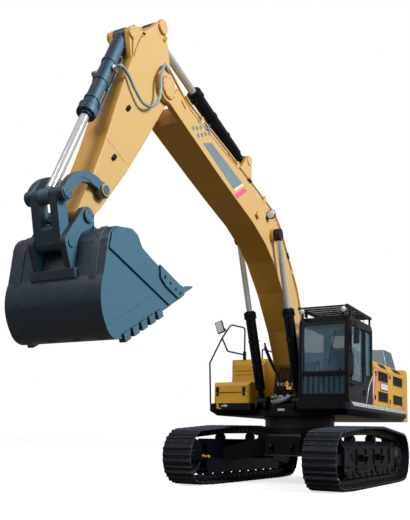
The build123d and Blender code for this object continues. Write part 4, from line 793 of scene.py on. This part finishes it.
def chain_links(side, sign):
    """Link plates, pins and shoe bolts inside and on the fixed loop."""
    path = track_path()
    total = path[-1][2]
    run = total / SHOES
    out = Form(f"chain_{side}", "undercarriage", "track_steel", "chain")
    bolts = Form(f"shoe_bolts_{side}", "undercarriage", "track_steel")
    link = ((-0.42, 0.012), (-0.56, 0.045), (-0.42, 0.085), (0.1, 0.115), (0.44, 0.085), (0.56, 0.05), (0.42, 0.012))
    for shoe in range(SHOES):
        spot, way, up = on_track(path, total * (shoe + 0.5) / SHOES)
        for edge in (1, -1):
            inner = spot + Y * (sign * TRACK_Y + edge * 0.092)
            out.skin([[inner + way * along * run + up * rise + Y * edge * thick for along, rise in link]
                      for thick in (0.0, 0.024)])
            pin = inner + way * run * 0.5 + up * 0.06 + Y * edge * 0.02
            out.turned(pin, Y * edge, cap(0.026, 0.012, 0.004, 0.006), 12)
        for dx in (-0.22, 0.22):
            for dy in (-0.15, 0.15):
                bolts.turned(spot + way * run * dx + up * 0.141 + Y * (sign * TRACK_Y + dy), up, cap(0.019, 0.012), 6)
    out.done(0)
    bolts.done(0)


def track_path():
    """Points (x, z, length so far) round the wheels."""
    wheels = ((WHEEL_X, WHEEL_Z, 0.35), (0.95, 0.905, 0.08), (-0.48, 0.93, 0.08), (-WHEEL_X, WHEEL_Z, 0.35),
              (-1.65, 0.28, 0.105), (1.65, 0.28, 0.105))  # x, z, radius
    around = []
    for number, (x, z, r) in enumerate(wheels):
        first = tangent_angle(wheels[number - 1], (x, z, r))
        last = tangent_angle((x, z, r), wheels[(number + 1) % len(wheels)])
        while last < first - 1e-9:
            last += 2 * math.pi
        steps = max(2, int((last - first) / 0.08))
        for step in range(steps + 1):
            angle = first + (last - first) * step / steps
            around.append((x + r * math.cos(angle), z + r * math.sin(angle)))
    around.append(around[0])
    out, length = [], 0.0
    for number, spot in enumerate(around):
        if number:
            length += math.dist(spot, around[number - 1])
        out.append((*spot, length))
    return out


def tangent_angle(one, two):
    """Direction from either wheel's centre to where the outer tangent touches it, going round counter-clockwise."""
    dx, dz = two[0] - one[0], two[1] - one[1]
    gap = math.hypot(dx, dz)
    return math.atan2(dz, dx) - math.acos(max(-1.0, min(1.0, (one[2] - two[2]) / gap)))


def on_track(path, length):
    """Place, forward direction and outward direction at a length round the track."""
    length %= path[-1][2]
    for (x0, z0, s0), (x1, z1, s1) in zip(path, path[1:]):
        if s0 <= length <= s1 and s1 > s0:
            t = (length - s0) / (s1 - s0)
            way = Vector((x1 - x0, 0, z1 - z0)).normalized()
            return Vector((x0 + (x1 - x0) * t, 0, z0 + (z1 - z0) * t)), way, Vector((way.z, 0, -way.x))


# ---- cab
CAB_FRONT, CAB_LEFT, CAB_RIGHT = 1.598, 1.562, 0.588  # outer faces


def cab_fittings():
    """Gaskets, wiper, rails, mirror, roof parts, levers, door handles and lamp glass of the cab."""
    trim = Form("cab_trim", UPPER, "black_paint", "rubber_black")
    y0, y1, thick, wide, edge = 0.675, 1.475, 0.012, 0.022, 0.024
    for y, z in strips(y0, y1, 1.74, 2.065, wide):
        trim.box((CAB_FRONT, CAB_FRONT + thick), y, z)
    for y, out, pane in ((CAB_RIGHT, -thick, (0.14, 1.45, 2.155, 3.03)), (CAB_LEFT, thick, (0.11, 0.53, 2.155, 3.03)),
                         (CAB_LEFT, thick, (0.675, 1.445, 1.99, 3.015))):
        for x, z in strips(*pane, wide):
            trim.box(x, sorted((y, y + out)), z)
    # leaning gasket of the windscreen
    (x0, z0), (x1, z1) = (1.602, 2.155), (1.566, 3.03)
    for ya, yb in ((y0 - edge, y0), (y1, y1 + edge)):
        trim.plate(MACHINE, ((x0, z0), (x1, z1), (x1 + thick, z1), (x0 + thick, z0)), ya, yb)
    for x, z in ((x0, z0 - edge), (x1, z1)):
        trim.box((x, x + thick), (y0 - edge, y1 + edge), (z, z + edge))
    trim.done(0.003)
    parts = Form("cab_parts", UPPER, "black_paint")
    # wiper arm with its blade
    parts.tube(((1.612, 1.4, 2.16), (1.63, 1.33, 2.42), (1.62, 1.24, 2.64)), 0.008, 8)
    parts.tube(((1.606, 1.19, 2.25), (1.6, 1.25, 2.62), (1.592, 1.31, 2.9)), 0.009, 6)
    parts.turned((1.595, 1.4, 2.16), FORE, cap(0.03, 0.02, 0.006, 0.008), 20)
    # waist rail and edge posts
    parts.box((1.6, 1.625), (0.6, 1.55), (2.085, 2.125))
    for y in (0.605, 1.52):
        parts.plate(MACHINE, ((1.605, 1.62), (1.605, 2.11), (1.565, 3.08), (1.59, 3.08), (1.63, 2.11), (1.63, 1.62)),
                    y, y + 0.028)
    # a dark sheet behind the lower pane, standing in for the shade inside the cab, and the bars in front of it
    parts.box((1.535, 1.54), (0.64, 1.5), (1.66, 2.08))
    for y in row(0.78, 0.1, 7):
        parts.tube(((1.612, y, 1.7), (1.612, y, 2.09)), 0.009, 8)
    # grab rail by the door, mirror on its pole at the left front edge
    parts.hose([(1.535, 1.562, 2.05), (1.55, 1.615, 2.09), (1.55, 1.62, 2.45), (1.54, 1.562, 2.5)], 0.013)
    parts.hose([(1.5, 1.562, 3.05), (1.46, 1.61, 3.06), (1.4, 1.635, 3.04), (1.38, 1.64, 2.98)], 0.011)
    parts.plate(leaning((1.36, 2.8), 8.0), ((-0.025, -0.14), (0.03, -0.15), (0.035, 0.15), (-0.02, 0.16)), 1.59, 1.69)
    # roof: hatch, antenna and work lamps' brackets
    parts.box((0.45, 1.15), (0.8, 1.35), (3.168, 3.19))
    parts.box((0.48, 1.12), (0.83, 1.32), (3.19, 3.2))
    parts.tube(((0.22, 1.45, 3.17), (0.22, 1.45, 3.3), (0.15, 1.46, 3.42)), 0.007, 8)
    for y in (0.72, 1.44):
        parts.box((1.5, 1.58), (y - 0.02, y + 0.02), (3.17, 3.27))
    # steering column, levers and travel pedals behind the windscreen
    parts.tube(((1.24, 1.075, 1.66), (1.2, 1.075, 2.1), (1.16, 1.075, 2.2)), 0.03, 12)
    for y in (0.76, 1.39):
        parts.hose([(0.92, y, 2.15), (0.93, y, 2.26), (0.96, y, 2.33)], 0.014, 4)
        parts.turned((0.955, y, 2.31), UP, ((0, 0.02), (0.03, 0.03), (0.08, 0.032), (0.1, 0.02)), 14)
    for y in (1.0, 1.15):
        parts.tube(((1.3, y, 1.66), (1.28, y, 2.0), (1.24, y, 2.18)), 0.012, 8)
        parts.box((1.28, 1.44), (y - 0.05, y + 0.05), (1.67, 1.69))
    parts.done(0.003)
    door = Form("door_parts", "cab_door", "black_paint")
    door.box((1.38, 1.47), (1.56, 1.575), (1.86, 1.93))
    door.hose([(1.4, 1.572, 1.88), (1.41, 1.6, 1.885), (1.45, 1.6, 1.9), (1.46, 1.572, 1.905)], 0.009, 5, 8)
    for x0, x1, z, radius in ((0.67, 1.45, 1.93, 0.01), (0.7, 1.42, 1.72, 0.006)):
        door.tube(((x0, 1.563, z), (x1, 1.563, z)), radius, 8)
    door.hose([(0.72, y, z) for y, z in ((1.535, 2.35), (1.6, 2.36), (1.6, 2.78), (1.535, 2.79))], 0.011, 5)
    door.done(0.002)
    lens = Form("cab_lamp_lens", UPPER, "cab_glass", "lamp_lens")
    for y in (0.675, 1.475):
        lens.turned((1.645, y, 3.27), FORE, ((0, 0.052), (0.004, 0.05), (0.01, 0.03), (0.013, 0.005)), 24)
    lens.done(0)


# ---- housing and deck
HOOD_SIDE, HOOD_TOP = 1.5, 2.58


def housing_door(body, sign, x0, x1, latches):
    """Latches, two grilles and their rims on one door of the engine housing."""
    off = lambda low, high: span(sign, HOOD_SIDE + low, HOOD_SIDE + high)
    out = Form(f"{body}_latches", body, "black_paint")
    for x, z in latches:
        out.turned((x, sign * HOOD_SIDE, z), Y * sign,
                   ((0, 0.034), (0.008, 0.034), (0.012, 0.028), (0.012, 0.014), (0.018, 0.012)), 20)
        out.box((x - 0.045, x + 0.045), off(0, 0.006), (z - 0.05, z + 0.05))
    out.done(0.002)
    rims = Form(f"{body}_rims", body, "yellow_paint")
    mesh = Form(f"{body}_grille", body, "black_paint")
    for z0, z1 in ((1.71, 1.92), (2.14, 2.35)):
        for z, x in strips(z0, z1, x0, x1, 0.02):
            rims.box(x, off(0, 0.007), z)
        mesh.box((x0, x1), off(-0.0015, 0.0005), (z0, z1))
        for number in range(11):
            z = z0 + (number + 0.3) * (z1 - z0) / 11
            mesh.skin([[(x, sign * y, z + up) for y, up in ((1.5005, 0), (1.5005, 0.011), (1.506, 0.004))]
                       for x in (x0, x1)])
        for number in range(1, 5):
            x = x0 + number * (x1 - x0) / 5
            mesh.box((x - 0.004, x + 0.004), off(0.0005, 0.0065), (z0, z1))
    rims.done(0.002)
    mesh.done(0)


def housing_fittings():
    """Side stripes, blank plate, doors' fittings and shoulder grilles of the engine housing."""
    front = ((-0.135, 1.66), (-0.31, 2.185), (-0.445, 2.36))
    for colour, near, far in (("pink", 0.07, 0.19), ("white", 0.02, 0.055)):
        film = Form(f"hood_stripe_{colour}", "side_door_front", "hood_grey", f"film_{colour}")
        film.plate(MACHINE, [(x - near, z) for x, z in front] + [(x - far, z) for x, z in front[::-1]],
                   HOOD_SIDE, HOOD_SIDE + FILM)
        film.done(0)
    for name, slot, look, inset, y, bevel in (
            ("blank_plate", "black_paint", "rubber_black", 0, (1.5, 1.506), 0.002),
            ("blank_plate_face", "hood_grey", "film_white", 0.02, (1.506, 1.508), 0)):
        plate = Form(name, "side_door_front", slot, look)
        plate.box((-1.44 + inset, -0.82 - inset), y, (1.955 + inset, 2.125 - inset))
        plate.done(bevel)
    housing_door("side_door_front", 1, -1.45, -0.62, ((-0.45, 2.28), (-0.4, 1.78)))
    housing_door("side_door_rear", 1, -2.8, -1.9, ((-1.64, 2.3), (-1.64, 1.75)))
    housing_door("pump_door", -1, -2.78, -2.0, ((-1.78, 2.3), (-1.78, 1.75)))
    # grilles on the sloped shoulders, set flush
    grille = Form("shoulder_grilles", UPPER, "black_paint")
    for sign, x0, x1 in ((1, -1.5, -0.95), (1, -2.85, -2.15), (-1, -2.85, -2.15)):
        slope = Vector((0, -sign * 0.14, 0.17)).normalized()
        normal = Vector((0, sign * 0.17, 0.14)).normalized()
        for number in range(7):
            low = Vector((0, sign * HOOD_SIDE, 2.41)) + slope * (0.045 + number * 0.019) + normal * 0.001
            ring = (low, low + slope * 0.011, low + slope * 0.009 + normal * 0.008, low + normal * 0.003)
            grille.skin([[spot + FORE * x for spot in ring] for x in (x0, x1)])
    grille.done(0)


def edge_strip():
    """Pale tread strip along the deck's left edge, and the rail behind the cab."""
    strip = Form("deck_strip", UPPER, "chrome_rod", "zinc")
    strip.plate(MACHINE, ((-2.93, 1.592), (1.48, 1.592), (1.3, 1.522), (-2.93, 1.522)), 1.5605, 1.566)
    strip.box((-2.93, 1.3), (1.505, 1.5605), (1.5905, 1.594))
    strip.done(0.001)
    treads = Form("deck_treads", UPPER, "chrome_rod", "zinc")
    for x in row(-2.88, 0.07, 58):
        treads.skin([[(x + dx + along, y, z) for along, z in ((0, 1.594), (0.01, 1.594), (0.01, 1.598), (0, 1.598))]
                     for dx, y in ((0.0, 1.512), (0.02, 1.555))])
    treads.done(0)
    rail = Form("cab_rear_rail", UPPER, "chrome_rod", "zinc")
    rail.hose([(-0.02, 1.545, 2.17), (0.22, 1.6, 2.1), (0.42, 1.605, 1.95), (0.5, 1.6, 1.8), (0.51, 1.57, 1.61)],
              0.011, 8)
    rail.done(0)


def tail_fittings():
    """Seams, lamps, lift lugs and blank plate of the counterweight."""
    tail = Form("tail_trim", UPPER, "black_paint")
    lens = Form("tail_lens", UPPER, "cab_glass", "lamp_red")
    for _, sign in SIDES:
        def behind(radius, angle, z):
            turn = math.radians(180 + sign * angle)
            return Vector((radius * math.cos(turn), radius * math.sin(turn), z))
        for z in (1.52, 2.44):
            tail.tube([behind(3.6605, angle, z) for angle in range(2, 23, 2)], 0.006, 6)
        way = behind(1, 19, 0)
        tail.turned(behind(3.65, 19, 2.2), way, ((0, 0.075), (0.03, 0.075), (0.036, 0.066), (0.03, 0.06)), 28)
        tail.turned((-3.25, sign * 0.5, 2.579), UP,
                    ((0, 0.07), (0.012, 0.07), (0.016, 0.06), (0.0162, 0.038), (0.002, 0.037)), 28)
        lens.turned(behind(3.68, 19, 2.2), way, ((0, 0.06), (0.006, 0.055), (0.01, 0.03), (0.011, 0.004)), 24)
    tail.box((-3.66, -3.655), (-0.35, 0.35), (1.62, 1.86))
    tail.done(0.002)
    lens.done(0)


def roof_fittings():
    """Treads and handle of the hood's lid, exhaust, antenna and rail of the housing."""
    lid = Form("lid_trim", "hood_lid", "hood_grey")
    for x in row(-2.72, 0.065, 9):
        lid.both(MACHINE, ((x, 2.98), (x + 0.03, 2.98), (x + 0.045, 2.994), (x + 0.015, 2.994)), 0.25, 1.05)
    lid.hose([(-2.012, -0.16, 2.7), (-1.985, -0.14, 2.72), (-1.985, 0.14, 2.72), (-2.012, 0.16, 2.7)], 0.011, 5)
    lid.done(0.001)
    pipe = Form("exhaust", UPPER, "black_paint", "frame_black")
    pipe.turned((-1.32, -0.55, HOOD_TOP), UP, drums((0, 0.02, 0.11), (0.026, 0.3, 0.075), (0.305, 0.33, 0.08)), 28)
    pipe.hose([(-1.32, -0.55, 2.88), (-1.32, -0.55, 2.98), (-1.37, -0.58, 3.06), (-1.47, -0.64, 3.08)], 0.058, 6, 20)
    pipe.tube([(-0.9, 1.3, z) for z in (2.6, 2.86, 2.95)], (0.012, 0.008, 0.006), 8)
    pipe.hose([(x, -1.32, z) for x, z in ((-1.0, HOOD_TOP), (-1.0, 2.92), (-1.06, 2.97), (-1.6, 2.97),
                                          (-1.66, 2.92), (-1.66, HOOD_TOP))], 0.016, 4)
    pipe.done(0.002)


def tank_fittings():
    """Latches, caps, hook, treads and seams of the tanks and the toolbox."""
    latch = Form("toolbox_latches", "toolbox_lid", "black_paint")
    keep = Form("toolbox_keepers", UPPER, "black_paint")
    for y in (-1.33, -0.735):
        latch.box((1.18, 1.196), (y - 0.032, y + 0.032), (1.825, 1.925))
        latch.turned((1.196, y, 1.9), FORE, cap(0.018, 0.012, 0.004, 0.006), 14)
        latch.tube([(x, y + dy, z) for x, dy, z in ((1.2, -0.02, 1.86), (1.215, -0.02, 1.835),
                                                    (1.215, 0.02, 1.835), (1.2, 0.02, 1.86))], 0.005, 6)
        keep.box((1.18, 1.192), (y - 0.026, y + 0.026), (1.745, 1.808))
        keep.bolt((1.192, y, 1.775), FORE, 0.009)
    latch.done(0.004)
    keep.box((1.18, 1.186), (-1.3, -0.76), (1.806, 1.8145))
    keep.done(0.003)
    hook = Form("hook_bracket", UPPER, "yellow_paint")
    hook.tube(((1.255, -1.2, 1.6), (1.285, -1.285, 1.6), (1.285, -1.285, 1.49), (1.255, -1.2, 1.485)), 0.012, 8)
    hook.box((1.25, 1.27), (-1.3, -1.26), (1.48, 1.61))
    hook.done(0.002)
    bit = Form("hook_pin", UPPER, "chrome_rod", "zinc")
    bit.turned((1.262, -1.2, 1.535), Y, drums((0, 0.06, 0.016), (0.064, 0.11, 0.028), (0.114, 0.14, 0.016)), 14)
    bit.done(0.002)
    caps = Form("tank_caps", UPPER, "black_paint")
    caps.turned((-0.15, -1.05, 2.579), UP, ((0, 0.11), (0.02, 0.11), (0.024, 0.085), (0.07, 0.085), (0.078, 0.075)), 28)
    caps.turned((-1.2, -1.0, 2.579), UP, ((0, 0.12), (0.015, 0.12), (0.02, 0.09), (0.06, 0.09), (0.066, 0.08)), 28)
    caps.bolts_round((-1.2, -1.0, 2.594), UP, 0.105, 8, 0.008)
    for x in (-0.5, 0.2):
        caps.bolts_round((x, -1.05, HOOD_TOP), UP, 0.04, 4, 0.008)
    caps.done(0.003)
    tread = Form("lid_treads", "toolbox_lid", "black_paint")
    for x in (0.62, 0.9):
        for y in row(-1.2, 0.07, 6):
            tread.box((x - 0.1, x + 0.1), (y, y + 0.03), (2.032, 2.04))
    tread.done(0.003)
    seam = Form("tank_seams", UPPER, "yellow_paint")
    for z in (2.245, 2.33):
        seam.tube(((0.424, -1.28, z), (0.424, -0.82, z)), 0.008, 8)
    for x in (0.0, -1.0):
        seam.tube(((x, -1.437, 1.62), (x, -1.437, 2.5)), 0.006, 8)
    seam.done(0)


def bending(name, points, steps, radius):
    """A curved hose between the upperstructure and another body, baked in place and riding on neither."""
    line = Form(name, None, "hose_rubber")
    line.hose(points, radius, steps)
    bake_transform(line.done(0))


def well_fittings():
    """Hoses, fittings and a guarded coil between the boom's ears, in front of the slewing motor."""
    dark = Form("well_hoses", UPPER, "hose_rubber")
    pale = Form("well_fittings", UPPER, "chrome_rod", "zinc")
    for number, y in enumerate(row(-0.2, 0.05, 9)):
        top = 1.75 + 0.03 * math.sin(number * 2.3)
        front = 0.93 + 0.03 * math.cos(number * 1.7)
        dark.hose([(0.62, y * 0.8, 1.84), (0.74, y, top + 0.05), (front - 0.03, y, top), (front, y + 0.01, 1.7),
                   (front + 0.02, y * 1.05, 1.65), (front - 0.1, y * 1.1, 1.605)], 0.021, 7)
        pale.turned((front - 0.035, y, top - 0.02), FORE - UP * 0.3,
                    [*drums((0, 0.03, 0.026), (0.034, 0.055, 0.031)), (0.06, 0.024)], 8)
    for number, y in enumerate(row(-0.15, 0.075, 5)):
        pale.turned((0.8, y, 1.95), UP, drums((0, 0.03, 0.021), (0.034, 0.06, 0.026), (0.064, 0.1, 0.019)), 8)
        end = (0.7, y * 0.8, 2.32)
        bending(f"boom_hose_{number}", [(0.8, y, 1.93), (0.81, y, 2.12), (0.78, y * 0.9, 2.24), end], 6, 0.016)
    dark.done(0)
    pale.done(0.001)
    # spiral guard: a dark hose with a pale coil round it
    route = eased([(0.97, -0.22, 1.62), (1.03, -0.05, 1.63), (1.04, 0.08, 1.67), (1.0, 0.17, 1.7),
                   (0.92, 0.2, 1.71)], 10)
    coil = Form("guarded_hose", UPPER, "hose_rubber")
    coil.tube(route, 0.04, 14)
    coil.done(0)
    turns = []
    for number in range(len(route) * 3 - 3):
        spot = route[number // 3].lerp(route[number // 3 + 1], (number % 3) / 3)
        angle = number * 0.72
        turns.append(spot + Vector((math.cos(angle) * 0.043, 0.012 * math.sin(angle), math.sin(angle) * 0.043)))
    wrap = Form("spiral_guard", UPPER, "hose_rubber", "film_white")
    wrap.tube(turns, 0.009, 6)
    wrap.done(0)
    # hoses from the well to the boom rams, two a side
    for side, sign in SIDES:
        for number in range(2):
            lift = number * 0.07
            start, end = (0.84, sign * 0.13, 2.12), (1.12, sign * 0.285, 2.62 + lift)
            route = [(0.78, sign * 0.1, 1.95), start, (0.98, sign * 0.21, 2.34 + lift), end,
                     (1.16, sign * 0.3, 2.72 + lift)]
            bending(f"ram_hose_{side}_{number}", route, 8, 0.018)
    # front plate of the slewing frame with its bolts and a small pale plate
    front = Form("frame_front", UPPER, "black_paint")
    front.box((1.0, 1.012), (-0.34, 0.34), (1.37, 1.57))
    for y in (-0.3, -0.15, 0.15, 0.3):
        for z in (1.41, 1.53):
            front.bolt((1.012, y, z), FORE, 0.014)
    front.done(0.002)
    small = Form("small_plate", UPPER, "chrome_rod", "film_white")
    small.box((1.012, 1.014), (-0.075, 0.075), (1.445, 1.49))
    small.done(0)


def mirror_face():
    """Mirror glass on the handrail, which is tipped about X; its pale white is a painted reflection."""
    tip = math.radians(18)
    out = Form("mirror_face", UPPER, "chrome_rod", "film_white")
    out.skin([[(x, -1.585 + a * math.cos(tip) - b * math.sin(tip), 3.26 + a * math.sin(tip) + b * math.cos(tip))
               for a, b in ((-0.07, -0.115), (0.07, -0.115), (0.07, 0.115), (-0.07, 0.115))] for x in (0.659, 0.664)])
    out.done(0.001)


def deck_fittings():
    """Treads of the front step and edge bolts of the deck."""
    out = Form("deck_trim", UPPER, "black_paint")
    for y in row(-1.4, 0.06, 14):
        out.box((1.19, 1.24), (y, y + 0.014), (1.59, 1.598))
    for sign, edge in ((1, 1.56), (-1, -1.5)):
        for x in row(-2.7, 0.45, 9):
            out.bolt((x, edge, 1.545), Y * sign, 0.011)
    for y in (0.7, 0.95, 1.2, 1.45):
        out.bolt((1.6, y, 1.55), FORE, 0.011)
    out.done(0.002)


for make in (boom_decals, boom_fittings, arm_fittings, arm_hoses, all_rams, bucket_fittings, linkage_fittings,
             undercarriage_fittings, cab_fittings, housing_fittings, edge_strip, tail_fittings, roof_fittings,
             tank_fittings, well_fittings, mirror_face, deck_fittings):
    make()

# ---- stage
WORLD_LIGHT, MIRROR_LIGHT, FLOOR_GLOW, FLOOR_HALF = 0.34, 0.9, 0.74, 120.0
LAMPS = (  # name, place, aim, diameter, watts
    ("key", (5.0, 17.0, 13.0), (1.5, 0.0, 2.5), 6.0, 4500.0),
    ("front", (17.0, -3.0, 14.0), (1.0, 0.0, 2.5), 8.0, 1300.0),
    ("back", (-14.0, -9.0, 12.0), (0.0, 0.0, 2.0), 9.0, 1800.0),
)


def make_stage():
    """A white floor that stays pale to the camera and dim to the underside, soft lamps and a white world."""
    mesh = bpy.data.meshes.new("floor")
    corners = [(x * FLOOR_HALF, y * FLOOR_HALF, 0) for x, y in ((-1, -1), (1, -1), (1, 1), (-1, 1))]
    mesh.from_pydata(corners, [], [(0, 1, 2, 3)])
    n = Nodes("floor")
    path = n.add("ShaderNodeLightPath").outputs
    seen = n.math("MAXIMUM", path["Is Camera Ray"], path["Is Transmission Ray"])
    n.join(n.blend(seen, srgb(104, 96, 84), srgb(214, 214, 216)), "Base Color")
    n.join(n.math("MULTIPLY", seen, FLOOR_GLOW), "Emission Strength")
    n.set(Emission_Color=(1, 1, 1, 1), Roughness=0.9, Specular_IOR_Level=0.1)
    mesh.materials.append(n.material)
    placed("floor", mesh)

    n = Nodes("world", bpy.data.worlds, "Background")
    bpy.context.scene.world = n.material
    path = n.add("ShaderNodeLightPath").outputs
    seen = n.math("MAXIMUM", path["Is Camera Ray"], path["Is Transmission Ray"])
    level = n.ramp(seen, 0.0, 1.0, WORLD_LIGHT, 1.0)
    mirror = n.ramp(path["Is Glossy Ray"], 0.0, 1.0, 1.0, MIRROR_LIGHT)  # what shiny skins reflect is dimmer
    n.join(n.math("MULTIPLY", level, mirror), "Strength")
    n.set(Color=(1, 1, 1, 1))

    for name, spot, aim, size, power in LAMPS:
        data = bpy.data.lights.new(name, "AREA")
        data.shape, data.size, data.energy = "DISK", size, power
        lamp = placed(name, data)
        lamp.location = spot
        lamp.rotation_euler = (Vector(aim) - Vector(spot)).to_track_quat("-Z", "Y").to_euler()


make_stage()
bpy.context.scene.view_settings.view_transform = "Standard"
